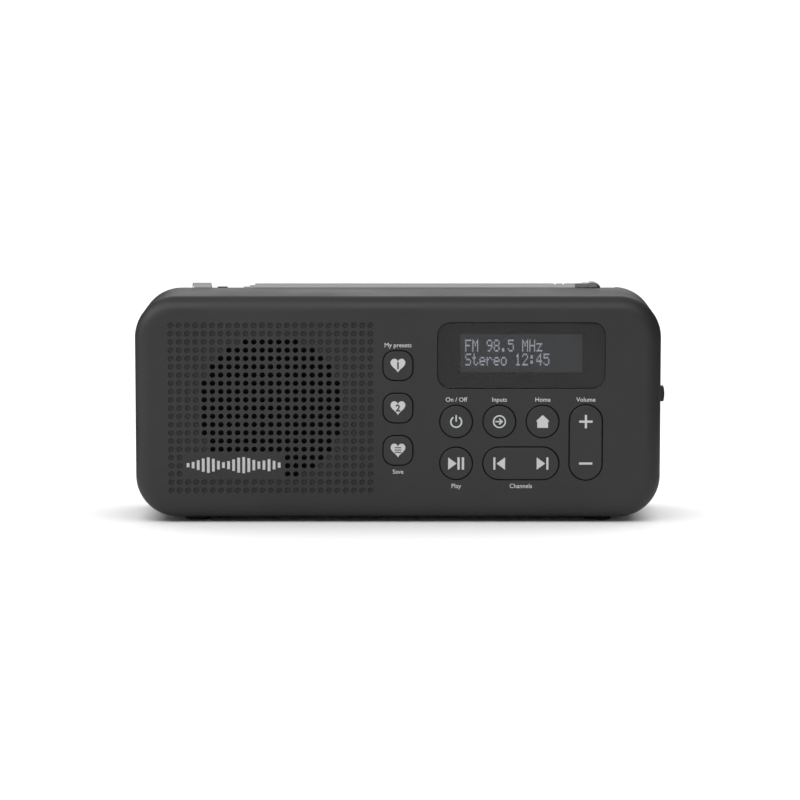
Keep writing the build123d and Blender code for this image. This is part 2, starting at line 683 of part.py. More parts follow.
# ---- Speaker ----
cloth = across(Pos(GRILLE_X, GRILLE_Z) * Circle(CLOTH_R), PANEL_BACK, GASKET_FRONT)
save("speaker_cloth", cloth)
gasket = Pos(GRILLE_X, GRILLE_Z) * (Circle(GASKET_R) - Circle(GASKET_HOLE_R))
save("speaker_gasket", across(gasket, GASKET_FRONT, BASKET_FRONT))

FLANGE_REAR = BASKET_FRONT + BASKET_FLANGE
BASKET_REAR = BASKET_FRONT + BASKET_DEPTH
frame_plate = Pos(GRILLE_X, GRILLE_Z) * RectangleRounded(BASKET_SIDE, BASKET_SIDE, BASKET_CORNER)
basket = across(frame_plate, BASKET_FRONT, FLANGE_REAR)
basket += turned(
    [
        (BASKET_MOUTH_R, FLANGE_REAR),
        (BASKET_MOUTH_R + BASKET_WALL, FLANGE_REAR),
        (MAGNET_R + BASKET_WALL, BASKET_REAR - BASKET_FLANGE),
        (MAGNET_R + BASKET_WALL, BASKET_REAR),
        (MAGNET_HOLE_R, BASKET_REAR),
        (MAGNET_HOLE_R, BASKET_REAR - BASKET_FLANGE),
        (MAGNET_R, BASKET_REAR - BASKET_FLANGE),
    ],
    GRILLE_X,
    GRILLE_Z,
)
basket -= across(Pos(GRILLE_X, GRILLE_Z) * Circle(BASKET_MOUTH_R), BASKET_FRONT - WALL, FLANGE_REAR)
windows = Rectangle(FAR, BASKET_WINDOW_WIDTH) + Rectangle(BASKET_WINDOW_WIDTH, FAR)
windows -= Circle(MAGNET_R + 2 * BASKET_WALL)
basket -= across(Pos(GRILLE_X, GRILLE_Z) * windows, FLANGE_REAR, BASKET_REAR)
for x, z in speaker_screw_places:
    basket -= across(Pos(x, z) * Circle(SPEAKER_SCREW_R + HEAD_GAP / 2), BASKET_FRONT - WALL, FLANGE_REAR)
save("speaker_basket", basket)

MAGNET_REAR = BASKET_REAR + MAGNET_THICKNESS
magnet = Pos(GRILLE_X, GRILLE_Z) * (Circle(MAGNET_R) - Circle(MAGNET_HOLE_R))
save("speaker_magnet", across(magnet, BASKET_REAR, MAGNET_REAR))
yoke_plate = across(Pos(GRILLE_X, GRILLE_Z) * Circle(MAGNET_R), MAGNET_REAR, MAGNET_REAR + YOKE_PLATE)
pole = across(Pos(GRILLE_X, GRILLE_Z) * Circle(POLE_R), BASKET_REAR - BASKET_FLANGE, MAGNET_REAR)
save("speaker_yoke", yoke_plate + pole)
coil = Pos(GRILLE_X, GRILLE_Z) * (Circle(COIL_R) - Circle(COIL_R - COIL_WALL))
CONE_FRONT = BASKET_FRONT + BASKET_FLANGE / 2
CONE_REAR = CONE_FRONT + CONE_DEPTH
save("voice_coil", across(coil, CONE_REAR, CONE_REAR + COIL_LENGTH))
cone = turned(
    [
        (CONE_R, CONE_FRONT),
        (CONE_R, CONE_FRONT + CONE_WALL),
        (COIL_R, CONE_REAR),
        (COIL_R - COIL_WALL, CONE_REAR),
        (COIL_R - COIL_WALL, CONE_REAR - CONE_WALL),
        (CONE_R - CONE_WALL, CONE_FRONT),
    ],
    GRILLE_X,
    GRILLE_Z,
)
save("speaker_cone", cone)
SURROUND_BASE = CONE_FRONT + CONE_WALL
surround_middle = (CONE_R + BASKET_MOUTH_R) / 2
surround = turned(
    [
        (CONE_R, CONE_FRONT),
        (surround_middle, CONE_FRONT + SURROUND_HEIGHT),
        (BASKET_MOUTH_R, CONE_FRONT),
        (BASKET_MOUTH_R, SURROUND_BASE),
        (surround_middle, SURROUND_BASE + SURROUND_HEIGHT),
        (CONE_R, SURROUND_BASE),
    ],
    GRILLE_X,
    GRILLE_Z,
)
save("speaker_surround", surround)
CAP_R = COIL_R - COIL_WALL
cap_profile = [
    (0, CONE_REAR - CAP_R / 2),
    (CAP_R * 0.7, CONE_REAR - CAP_R / 3),
    (CAP_R, CONE_REAR - CONE_WALL),
]
cap_profile += [(CAP_R, CONE_REAR), (0, CONE_REAR)]
save("dust_cap", turned(cap_profile, GRILLE_X, GRILLE_Z))
speaker_screws = [
    screw(
        (x, FLANGE_REAR, z),
        (0, -1, 0),
        SPEAKER_SCREW_HEAD_R,
        SPEAKER_SCREW_HEAD,
        SPEAKER_SCREW_R,
        BASKET_FLANGE + SPEAKER_SCREW_BITE,
    )
    for x, z in speaker_screw_places
]
save("speaker_screws", *speaker_screws)

# ---- Display: lens, glass, light guide, frame and the strip that feeds the glass ----
lens_plate = Pos(LENS_X, LENS_Z) * RectangleRounded(LENS_WIDTH, LENS_HEIGHT, LENS_CORNER)
save("display_lens", across(lens_plate, FRONT + LENS_SUNK, LENS_BACK))

LCD_WIDTH = WINDOW_WIDTH + 2 * LCD_MARGIN
LCD_HEIGHT = WINDOW_HEIGHT + 2 * LCD_MARGIN_Z
LCD_FRONT = PANEL_BACK + LCD_FROM_PANEL
LCD_BACK = LCD_FRONT + LCD_THICKNESS
LCD_BOTTOM = WINDOW_Z - LCD_HEIGHT / 2
glass = Pos(LENS_X, WINDOW_Z) * Rectangle(LCD_WIDTH, LCD_HEIGHT)
save("lcd_glass", across(glass, LCD_FRONT, LCD_BACK))
GUIDE_BOTTOM = LCD_BOTTOM + STRIP_HEIGHT + LCD_FRAME_GAP
guide_x = (LENS_X - LCD_WIDTH / 2, LENS_X + LCD_WIDTH / 2)
guide = block(guide_x, (LCD_BACK, LCD_BACK + GUIDE_THICKNESS), (GUIDE_BOTTOM, LCD_BOTTOM + LCD_HEIGHT))
save("lcd_light_guide", guide)
strip = block(guide_x, (LCD_BACK, BOARD_FRONT), (LCD_BOTTOM, LCD_BOTTOM + STRIP_HEIGHT))
save("lcd_connector_strip", strip)
frame_hole = Rectangle(LCD_WIDTH + 2 * LCD_FRAME_GAP, LCD_HEIGHT + 2 * LCD_FRAME_GAP)
frame_side = LCD_FRAME_GAP + LCD_FRAME_WALL
frame_sketch = Rectangle(LCD_WIDTH + 2 * frame_side, LCD_HEIGHT + 2 * frame_side) - frame_hole
save("lcd_frame", across(Pos(LENS_X, WINDOW_Z) * frame_sketch, LCD_FRONT - LCD_FRAME_GAP, BOARD_FRONT))

# ---- Keypad mat with a rubber dome under every key stem ----
MAT_FRONT = BOARD_FRONT - MAT_THICKNESS
dome_reach = DOME_BASE_R + MAT_MARGIN
preset_strip = block(
    (PRESET_X - dome_reach, PRESET_X + dome_reach),
    (MAT_FRONT, BOARD_FRONT),
    (PRESET_Z - dome_reach, PRESET_Z + 2 * PRESET_PITCH + dome_reach),
)
key_field = block(
    (PRESET_X, VOLUME_X + dome_reach),
    (MAT_FRONT, BOARD_FRONT),
    (LOWER_KEY_Z - dome_reach, UPPER_KEY_Z + dome_reach),
)
save("keypad_mat", preset_strip + key_field)
dome_profile = [
    (0, STEM_END + DOME_GAP),
    (DOME_TOP_R, STEM_END + DOME_GAP),
    (DOME_BASE_R, MAT_FRONT),
    (0, MAT_FRONT),
]
save("key_domes", *[turned(dome_profile, x, z) for x, z in stem_places])

# ---- Main board and what it carries ----
board = block((BOARD_LEFT, BOARD_RIGHT), (BOARD_FRONT, BOARD_BACK), (BOARD_BOTTOM, BOARD_TOP))
for x, z in board_screw_places:
    board -= across(Pos(x, z) * Circle(SMALL_SCREW_R + HEAD_GAP / 2), BOARD_FRONT, BOARD_BACK)
save("main_board", board)


def on_board(x, z, width, height, depth):
    """A box on the back of the main board, placed from its left bottom corner."""
    x_low = BOARD_LEFT + x
    z_low = BOARD_BOTTOM + z
    return block((x_low, x_low + width), (BOARD_BACK, BOARD_BACK + depth), (z_low, z_low + height))


save("tuner_can", on_board(*TUNER_CAN))
save("board_chips", *[on_board(*chip) for chip in CHIPS])
capacitor_end = BOARD_BACK + CAPACITOR_HEIGHT
capacitors = [
    across(Pos(BOARD_LEFT + x, BOARD_BOTTOM + z) * Circle(CAPACITOR_R), BOARD_BACK, capacitor_end)
    for x, z in CAPACITOR_PLACES
]
save("board_capacitors", *capacitors)
connector_places = [SPEAKER_CONNECTOR, POWER_CONNECTOR, AERIAL_CONNECTOR]
connector_size = (CONNECTOR_WIDTH, CONNECTOR_HEIGHT, CONNECTOR_DEPTH)
save("board_connectors", *[on_board(x, z, *connector_size) for x, z in connector_places])

small_screw_size = (SMALL_SCREW_HEAD_R, SMALL_SCREW_HEAD, SMALL_SCREW_R, SMALL_SCREW_LENGTH)
board_screws = [
    screw((x, BOARD_BACK, z), (0, -1, 0), *small_screw_size)
    for x, z in board_screw_places
]
tray_screws = [
    screw((x, EAR_BACK - TRAY_EAR_THICKNESS, z), (0, 1, 0), *small_screw_size)
    for x, z in tray_screw_places
]
socket_screws = [
    screw((x, y, BOARD_DECK), (0, 0, -1), *small_screw_size)
    for x, y in socket_screw_places
]
save("small_screws", *board_screws, *tray_screws, *socket_screws)

# ---- Lock slider and the switch it works ----
SWITCH_FRONT = BOARD_BACK
SWITCH_BACK = SLIDER_Y + (SLIDER_Y - BOARD_BACK)
SWITCH_LEFT = BOARD_RIGHT - SWITCH_WIDTH - SLIDER_GAP
LEVER_TIP = SWITCH_LEFT + SWITCH_WIDTH - SWITCH_SLOT_DEPTH + SLIDER_GAP
knob_profile = make_face(
    Polyline(
        (RIGHT, SLIDER_Z - SLIDER_LENGTH / 2),
        (RIGHT + SLIDER_END_PROUD, SLIDER_Z - SLIDER_LENGTH / 2),
    )
    + ThreePointArc(
        (RIGHT + SLIDER_END_PROUD, SLIDER_Z - SLIDER_LENGTH / 2),
        (RIGHT + SLIDER_PROUD, SLIDER_Z),
        (RIGHT + SLIDER_END_PROUD, SLIDER_Z + SLIDER_LENGTH / 2),
    )
    + Polyline(
        (RIGHT + SLIDER_END_PROUD, SLIDER_Z + SLIDER_LENGTH / 2),
        (RIGHT, SLIDER_Z + SLIDER_LENGTH / 2),
        (RIGHT, SLIDER_Z - SLIDER_LENGTH / 2),
    )
)
slider = across(knob_profile, SLIDER_Y - SLIDER_WIDTH / 2, SLIDER_Y + SLIDER_WIDTH / 2)
# The knob stands a hair off the wall, so that it slides.
slider = Pos(KEY_PLAY, 0, 0) * slider
neck = Pos(SLIDER_Y, SLIDER_Z) * Rectangle(SLIDER_NECK_WIDTH, SLIDER_NECK_LENGTH)
FLANGE_OUTER = RIGHT - WALL - KEY_PLAY
slider += lengthwise(neck, FLANGE_OUTER - SLIDER_FLANGE, RIGHT + SLIDER_END_PROUD / 2)
slider_flange = Rectangle(
    slot_width + 2 * SLIDER_OVERLAP, SLIDER_NECK_LENGTH + 2 * (SLIDER_TRAVEL + SLIDER_GAP + SLIDER_OVERLAP)
)
slider += lengthwise(Pos(SLIDER_Y, SLIDER_Z) * slider_flange, FLANGE_OUTER - SLIDER_FLANGE, FLANGE_OUTER)
slider += lengthwise(Pos(SLIDER_Y, SLIDER_Z) * Circle(SLIDER_LEVER_R), LEVER_TIP, FLANGE_OUTER)
save("lock_slider", slider)
switch = block(
    (SWITCH_LEFT, SWITCH_LEFT + SWITCH_WIDTH),
    (SWITCH_FRONT, SWITCH_BACK),
    (slot_z - SWITCH_HEIGHT / 2, slot_z + SWITCH_HEIGHT / 2),
)
lever_way = Rectangle(
    2 * (SLIDER_LEVER_R + SLIDER_GAP), 2 * (SLIDER_LEVER_R + SLIDER_GAP) + SLIDER_TRAVEL
)
switch_right = SWITCH_LEFT + SWITCH_WIDTH
switch -= lengthwise(Pos(SLIDER_Y, slot_z) * lever_way, switch_right - SWITCH_SLOT_DEPTH, switch_right)
save("lock_switch", switch)

# ---- Cell tray, cells, springs, contacts and the door ----
tray = block(
    (TRAY_INSIDE_LEFT - TRAY_WALL, TRAY_INSIDE_RIGHT + TRAY_WALL),
    (TRAY_INSIDE_FRONT - TRAY_WALL, REAR_INSIDE),
    (TRAY_INSIDE_BOTTOM - TRAY_WALL, TRAY_INSIDE_TOP + TRAY_WALL),
)
for x, z in tray_screw_places:
    half_width = (TRAY_EAR_WIDTH / 2) + TRAY_WALL / 2
    tray += block(
        (x - half_width, x + half_width),
        (EAR_BACK - TRAY_EAR_THICKNESS, EAR_BACK),
        (z - TRAY_EAR_HEIGHT / 2, z + TRAY_EAR_HEIGHT / 2),
    )
tray -= block(
    (TRAY_INSIDE_LEFT, TRAY_INSIDE_RIGHT),
    (TRAY_INSIDE_FRONT, REAR_INSIDE),
    (TRAY_INSIDE_BOTTOM, TRAY_INSIDE_TOP),
)
for x, z in tray_screw_places:
    tray -= across(Pos(x, z) * Circle(SMALL_SCREW_R + HEAD_GAP / 2), EAR_BACK - WALL, EAR_BACK)
save("battery_tray", tray)

cells = []
springs = []
contacts = []
for number in range(CELL_COUNT):
    z = TRAY_INSIDE_BOTTOM + CELL_SIDE_GAP + CELL_R + number * CELL_PITCH
    # The cells lie head to tail, so every other one is turned round.
    flip = number % 2 == 1
    start = TRAY_INSIDE_RIGHT if flip else TRAY_INSIDE_LEFT
    way = -1 if flip else 1
    nub = start + way * CONTACT_THICKNESS
    shoulder = nub + way * CELL_NUB
    tail = nub + way * CELL_LENGTH
    spring_end = tail + way * SPRING_LENGTH
    nub_profile = [(nub, 0), (nub, CELL_NUB_R), (shoulder, CELL_NUB_R)]
    cell_profile = nub_profile + [(shoulder, CELL_R), (tail, CELL_R), (tail, 0)]
    cells.append(turned_along_x(cell_profile, CELL_Y, z))
    spring_profile = [
        (tail, SPRING_TIP_R - SPRING_WIRE),
        (tail, SPRING_TIP_R),
        (spring_end, SPRING_R),
        (spring_end, SPRING_R - SPRING_WIRE),
    ]
    springs.append(turned_along_x(spring_profile, CELL_Y, z))
    plate = Pos(CELL_Y, z) * Rectangle(CONTACT_SIDE, CONTACT_SIDE)
    contacts.append(lengthwise(plate, min(start, nub), max(start, nub)))
    plate_end = spring_end + way * CONTACT_THICKNESS
    contacts.append(lengthwise(plate, min(spring_end, plate_end), max(spring_end, plate_end)))
save("aa_cells", *cells)
save("battery_springs", *springs)
save("battery_contacts", *contacts)

door = across(door_outline(DOOR_GAP), DOOR_SEAT, BACK)
pad = Pos(DOOR_X, DOOR_Z) * Rectangle(
    TRAY_INSIDE_RIGHT - TRAY_INSIDE_LEFT - 2 * DOOR_PAD_GAP,
    TRAY_INSIDE_TOP - TRAY_INSIDE_BOTTOM - 2 * DOOR_PAD_GAP,
)
pad_front = CELL_Y + CELL_R + DOOR_PAD_GAP
door += across(pad, pad_front, BACK - DOOR_THICKNESS / 2)
save("battery_door", door)

# ---- Sockets ----
socket_board = block(
    (SOCKET_BOARD_LEFT, SOCKET_BOARD_LEFT + SOCKET_BOARD_WIDTH),
    (SOCKET_BOARD_FRONT, SOCKET_BOARD_BACK),
    (SOCKET_BOARD_Z, BOARD_DECK),
)
for x, y in socket_screw_places:
    socket_board -= upright(Pos(x, y) * Circle(SMALL_SCREW_R + HEAD_GAP / 2), SOCKET_BOARD_Z, BOARD_DECK)
save("socket_board", socket_board)

jack_half = JACK_BODY_WIDTH / 2
jack_back = REAR_INSIDE - PILOT_GAP
jack = block(
    (JACK_X - jack_half, JACK_X + jack_half),
    (jack_back - JACK_BODY_LENGTH, jack_back),
    (BOARD_DECK, BOARD_DECK + JACK_BODY_HEIGHT),
)
JACK_MOUTH = BACK - JACK_NOSE_SUNK
jack += across(Pos(JACK_X, JACK_Z) * Circle(JACK_NOSE_R), jack_back - PILOT_GAP, JACK_MOUTH)
jack -= across(Pos(JACK_X, JACK_Z) * Circle(JACK_R), JACK_MOUTH - JACK_DEPTH, JACK_MOUTH)
save("headphone_socket", jack)

USB_MOUTH = BACK - USB_SUNK
usb_skin = SlotOverall(USB_WIDTH, USB_HEIGHT)
usb_skin -= SlotOverall(USB_WIDTH - 2 * USB_WALL, USB_HEIGHT - 2 * USB_WALL)
usb = across(Pos(USB_X, USB_Z) * usb_skin, USB_MOUTH - USB_LENGTH, USB_MOUTH)
usb_floor = USB_MOUTH - USB_LENGTH
usb += across(Pos(USB_X, USB_Z) * SlotOverall(USB_WIDTH, USB_HEIGHT), usb_floor, usb_floor + 2 * USB_WALL)
usb_tongue = Pos(USB_X, USB_Z) * Rectangle(USB_TONGUE_WIDTH, USB_TONGUE)
usb += across(usb_tongue, usb_floor, USB_MOUTH - 2 * USB_WALL)
save("usb_socket", usb)

# ---- Aerial: a post that turns in the case, a fork that tilts on it, and nested sections ----
FLANGE_UNDER = NOTCH_FLOOR - POST_FLANGE_SUNK + AERIAL_FIT
FLANGE_TOP = FLANGE_UNDER + POST_FLANGE
TAG_TOP = BOSS_BOTTOM
TAG_BOTTOM = TAG_TOP - TAG_THICKNESS
STEM_BOTTOM = TAG_BOTTOM - STEM_PAST_TAG
pivot = Pos(PIVOT_X, AERIAL_Y)
post = upright(pivot * Circle(POST_STEM_R), STEM_BOTTOM, FLANGE_UNDER)
post += upright(pivot * Circle(POST_FLANGE_R), FLANGE_UNDER, FLANGE_TOP)
lug_back = AERIAL_Y + LUG_WIDTH / 2
lug = Pos(PIVOT_X, AERIAL_Z) * Circle(LUG_R)
lug_foot = Pos(PIVOT_X, (FLANGE_TOP + AERIAL_Z) / 2) * Rectangle(2 * LUG_R, AERIAL_Z - FLANGE_TOP)
post += across(lug + lug_foot, AERIAL_Y - LUG_WIDTH / 2, lug_back)
lug_bore = Pos(PIVOT_X, AERIAL_Z) * Circle(PIN_R + AERIAL_FIT)
post -= across(lug_bore, AERIAL_Y - LUG_WIDTH, AERIAL_Y + LUG_WIDTH)
pilot_top = STEM_BOTTOM + AERIAL_SCREW_LENGTH + WALL / 4
post -= upright(pivot * Circle(AERIAL_SCREW_R + PILOT_GAP), STEM_BOTTOM, pilot_top)
save("aerial_post", post)
aerial_screw = screw(
    (PIVOT_X, AERIAL_Y, STEM_BOTTOM),
    (0, 0, 1),
    AERIAL_SCREW_HEAD_R,
    AERIAL_SCREW_HEAD,
    AERIAL_SCREW_R,
    AERIAL_SCREW_LENGTH,
)
save("aerial_screw", aerial_screw)
tag = pivot * Circle(TAG_R)
tag += Pos(PIVOT_X, AERIAL_Y - TAG_R - TAG_TAIL / 2) * Rectangle(TAG_R / 2, 2 * TAG_TAIL)
tag -= pivot * Circle(POST_STEM_R + LUG_GAP)
tag &= Rectangle(2 * FAR, 2 * (REAR_INSIDE - PILOT_GAP))
save("aerial_tag", upright(tag, TAG_BOTTOM, TAG_TOP))

SHANK_LEFT = PIVOT_X - TUBE_SHOULDER
SHANK_RIGHT = PIVOT_X - YOKE_SHANK
groove_r = TUBE_R - COLLAR_GROOVE_DEPTH
second_groove = SHANK_LEFT + COLLAR_GROOVE_PITCH
shank_profile = [
    (SHANK_LEFT - SPIGOT_LENGTH, 0),
    (SHANK_LEFT - SPIGOT_LENGTH, SECTION_2_R + AERIAL_FIT / 2),
    (SHANK_LEFT, SECTION_2_R + AERIAL_FIT / 2),
    (SHANK_LEFT, groove_r),
    (SHANK_LEFT + COLLAR_GROOVE, groove_r),
    (SHANK_LEFT + COLLAR_GROOVE, TUBE_R),
    (second_groove, TUBE_R),
    (second_groove, groove_r),
    (second_groove + COLLAR_GROOVE, groove_r),
    (second_groove + COLLAR_GROOVE, TUBE_R),
    (SHANK_RIGHT, TUBE_R),
    (SHANK_RIGHT, 0),
]
fork_side = Pos(PIVOT_X, AERIAL_Z) * Circle(KNUCKLE_R)
fork_side += Pos(PIVOT_X - YOKE_SHANK / 2, AERIAL_Z) * Rectangle(YOKE_SHANK, 2 * YOKE_HALF_HEIGHT)
fork = across(fork_side, AERIAL_Y - YOKE_WIDTH / 2, AERIAL_Y + YOKE_WIDTH / 2)
fork_plan = pivot * Circle(KNUCKLE_R)
fork_plan += Pos(PIVOT_X - YOKE_SHANK / 2, AERIAL_Y) * Rectangle(YOKE_SHANK, YOKE_WIDTH)
fork &= upright(fork_plan, NOTCH_FLOOR, TOP + KNUCKLE_R)
slot_half = LUG_WIDTH / 2 + LUG_GAP
fork -= block(
    (PIVOT_X - FORK_ROOT, PIVOT_X + 2 * KNUCKLE_R),
    (AERIAL_Y - slot_half, AERIAL_Y + slot_half),
    (NOTCH_FLOOR, TOP + KNUCKLE_R),
)
fork_bore = Pos(PIVOT_X, AERIAL_Z) * Circle(PIN_R + AERIAL_FIT / 2)
fork -= across(fork_bore, AERIAL_Y - YOKE_WIDTH, AERIAL_Y + YOKE_WIDTH)
save("aerial_yoke", fork + turned_along_x(shank_profile, AERIAL_Y, AERIAL_Z))

pin_front = AERIAL_Y - YOKE_WIDTH / 2
pin = across(Pos(PIVOT_X, AERIAL_Z) * Circle(PIN_R), pin_front - PIN_END, AERIAL_Y + YOKE_WIDTH / 2 + PIN_END)
pin_rivet = Pos(PIVOT_X, AERIAL_Z) * Circle(PIN_END_R)
pin += across(pin_rivet, pin_front - PIN_END, pin_front)
pin += across(pin_rivet, AERIAL_Y + YOKE_WIDTH / 2, AERIAL_Y + YOKE_WIDTH / 2 + PIN_END)
save("aerial_pin", pin)


def nested(outer_r, bore_r, x_left, x_right):
    """One tube of the aerial, open at both ends."""
    ring = Pos(AERIAL_Y, AERIAL_Z) * (Circle(outer_r) - Circle(bore_r))
    return lengthwise(ring, x_left, x_right)


TUBE_LEFT = SHANK_LEFT - TUBE_LENGTH
SECTION_2_LEFT = TUBE_LEFT - SECTION_STEP_2
SECTION_3_LEFT = SECTION_2_LEFT - SECTION_STEP_3
TIP_RIGHT = SECTION_3_LEFT - ROD_SHOWING
NEST_RIGHT = SHANK_LEFT - SPIGOT_LENGTH - NEST_END
save("aerial_tube", nested(TUBE_R, SECTION_2_R + AERIAL_FIT, TUBE_LEFT, SHANK_LEFT))
save("aerial_section_2", nested(SECTION_2_R, SECTION_3_R + AERIAL_FIT, SECTION_2_LEFT, NEST_RIGHT))
save("aerial_section_3", nested(SECTION_3_R, ROD_R + AERIAL_FIT, SECTION_3_LEFT, NEST_RIGHT - NEST_STEP))
rod = lengthwise(Pos(AERIAL_Y, AERIAL_Z) * Circle(ROD_R), TIP_RIGHT, NEST_RIGHT - 2 * NEST_STEP)
save("aerial_rod", rod)
tip = lengthwise(Pos(AERIAL_Y, AERIAL_Z) * Circle(TIP_R), TIP_RIGHT - TIP_LENGTH, TIP_RIGHT)
save("aerial_tip", fillet(tip.edges(), TIP_R / 5))

rest_right = TIP_RIGHT + REST_FROM_TIP + REST_LENGTH
rest_back = AERIAL_Y - SECTION_2_R - REST_GAP
rest = block((rest_right - REST_LENGTH, rest_right), (NOTCH_Y, rest_back), (NOTCH_FLOOR, TOP + REST_PROUD))
save("aerial_rest", rest)

# ---- Leads ----
CONNECTOR_REAR = BOARD_BACK + CONNECTOR_DEPTH
speaker_leads = []
for number in range(2):
    x_board = BOARD_LEFT + SPEAKER_CONNECTOR[0] + LEAD_FROM_SIDE + LEAD_STEP_X * number
    z_board = BOARD_BOTTOM + SPEAKER_CONNECTOR[1] + SPEAKER_LEAD_UP + LEAD_STEP_Z * number
    x_speaker = GRILLE_X + BASKET_SIDE / 2 - SPEAKER_LEAD_INSET
    z_speaker = z_board - SPEAKER_LEAD_DROP
    lead_y = CONNECTOR_REAR + SPEAKER_LEAD_OUT + number
    speaker_leads.append(
        wire(
            [
                (x_board, CONNECTOR_REAR, z_board),
                (x_board, lead_y, z_board),
                (x_speaker, lead_y, z_speaker),
                (x_speaker, FLANGE_REAR, z_speaker),
            ]
        )
    )
save("speaker_leads", *speaker_leads)

power_leads = []
for number in range(2):
    x_board = BOARD_LEFT + POWER_CONNECTOR[0] + LEAD_FROM_SIDE + LEAD_STEP_X * number
    z_lead = BOARD_BOTTOM + POWER_CONNECTOR[1] + POWER_LEAD_UP + LEAD_STEP_Z * number
    x_tray = TRAY_INSIDE_LEFT - TRAY_WALL
    lead_y = TRAY_INSIDE_FRONT + POWER_LEAD_BEHIND + POWER_LEAD_STEP * number
    route = [(x_board, CONNECTOR_REAR, z_lead), (x_board, lead_y, z_lead), (x_tray, lead_y, z_lead)]
    power_leads.append(wire(route, bend=TIGHT_BEND))
save("battery_leads", *power_leads)

tag_end = AERIAL_Y - TAG_R - TAG_TAIL
lead_z = BOARD_BOTTOM + AERIAL_CONNECTOR[1] + CONNECTOR_HEIGHT / 2
route = [(PIVOT_X, tag_end, TAG_BOTTOM), (PIVOT_X, tag_end, lead_z), (PIVOT_X, CONNECTOR_REAR, lead_z)]
aerial_lead = wire(route, bend=TIGHT_BEND)
save("aerial_lead", aerial_lead)
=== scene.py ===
import math
import bpy
import bmesh
from mathutils import Matrix, Vector


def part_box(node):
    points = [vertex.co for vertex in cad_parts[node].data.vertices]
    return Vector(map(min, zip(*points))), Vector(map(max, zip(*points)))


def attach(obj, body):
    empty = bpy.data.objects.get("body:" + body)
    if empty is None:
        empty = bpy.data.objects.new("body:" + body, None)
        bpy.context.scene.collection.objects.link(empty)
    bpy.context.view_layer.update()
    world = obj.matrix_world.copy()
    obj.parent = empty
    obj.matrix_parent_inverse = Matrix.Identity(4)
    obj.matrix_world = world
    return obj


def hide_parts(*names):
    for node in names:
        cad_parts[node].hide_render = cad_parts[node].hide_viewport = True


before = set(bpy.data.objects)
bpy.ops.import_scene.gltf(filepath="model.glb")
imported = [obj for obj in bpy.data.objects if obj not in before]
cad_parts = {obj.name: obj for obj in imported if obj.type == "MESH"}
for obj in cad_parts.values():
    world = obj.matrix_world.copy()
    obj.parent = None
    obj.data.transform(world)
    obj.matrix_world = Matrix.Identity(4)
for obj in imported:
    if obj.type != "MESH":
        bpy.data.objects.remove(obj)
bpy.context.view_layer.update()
scene = bpy.context.scene
scene.view_settings.view_transform = "Standard"
MM = 0.001

# ---- Camera ----
# A product view from straight in front, looking slightly down. The lens is long, so the case's edges stay
# nearly parallel. It aims a little above the middle of the front.
CAMERA_PITCH = math.radians(7.0)
CAMERA_DISTANCE = 1227 * MM
CAMERA_LENS = 160.0
CAMERA_SENSOR = 36.0
AIM_SIDE = 0.7 * MM
AIM_HEIGHT = 42.9 * MM
case_low, case_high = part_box("front_shell")
aim = Vector((AIM_SIDE, case_low.y, AIM_HEIGHT))
lens = bpy.data.cameras.new("product_camera")
lens.lens = CAMERA_LENS
lens.sensor_width = CAMERA_SENSOR
lens.clip_end = 20.0
camera = bpy.data.objects.new("product_camera", lens)
scene.collection.objects.link(camera)
camera.location = aim + CAMERA_DISTANCE * Vector((0, -math.cos(CAMERA_PITCH), math.sin(CAMERA_PITCH)))
camera.rotation_euler = (math.pi / 2 - CAMERA_PITCH, 0, 0)
scene.camera = camera


# ---- Table, room and lights ----
# A white table under a wide lamp straight overhead. The backdrop is bright low down and the room above is
# dim, so the black case shows its shape by what it mirrors. Two black flags, seen only in reflections,
# stand beside the case and draw its thin dark outline.
def linear(hex_colour):
    """An sRGB hex colour as linear red, green, blue and alpha."""
    shares = [int(hex_colour[i : i + 2], 16) / 255 for i in (0, 2, 4)]
    return (*[s / 12.92 if s <= 0.04045 else ((s + 0.055) / 1.055) ** 2.4 for s in shares], 1.0)


def add(tree, kind, inputs=None, **settings):
    """One shader or geometry node. inputs gives a socket's value, or the nodes or sockets that feed it."""
    made = tree.nodes.new(kind)
    for key, value in settings.items():
        setattr(made, key, value)
    for key, value in (inputs or {}).items():
        for feed in value if isinstance(value, list) else [value]:
            source = feed.outputs[0] if isinstance(feed, bpy.types.Node) else feed
            if isinstance(source, bpy.types.NodeSocket):
                tree.links.new(source, made.inputs[key])
            else:
                made.inputs[key].default_value = source
    return made


def card(name, corners, colour, roughness):
    """A flat plane of the set, which is not part of the radio."""
    sheet = bpy.data.meshes.new(name)
    sheet.from_pydata(corners, [], [(0, 1, 2, 3)])
    made = bpy.data.objects.new(name, sheet)
    scene.collection.objects.link(made)
    paint = bpy.data.materials.new(name + "_paint")
    paint.use_nodes = True
    shader = paint.node_tree.nodes["Principled BSDF"]
    shader.inputs["Base Color"].default_value = linear(colour)
    shader.inputs["Roughness"].default_value = roughness
    shader.inputs["Specular IOR Level"].default_value = 0.1
    sheet.materials.append(paint)
    return made


# A matt white laminate.
TABLE_HALF = 1.1
table_corners = [(x * TABLE_HALF, y * TABLE_HALF, 0) for x, y in ((-1, -1), (1, -1), (1, 1), (-1, 1))]
table_top = card("table_top", table_corners, "F4F4F4", 0.7)
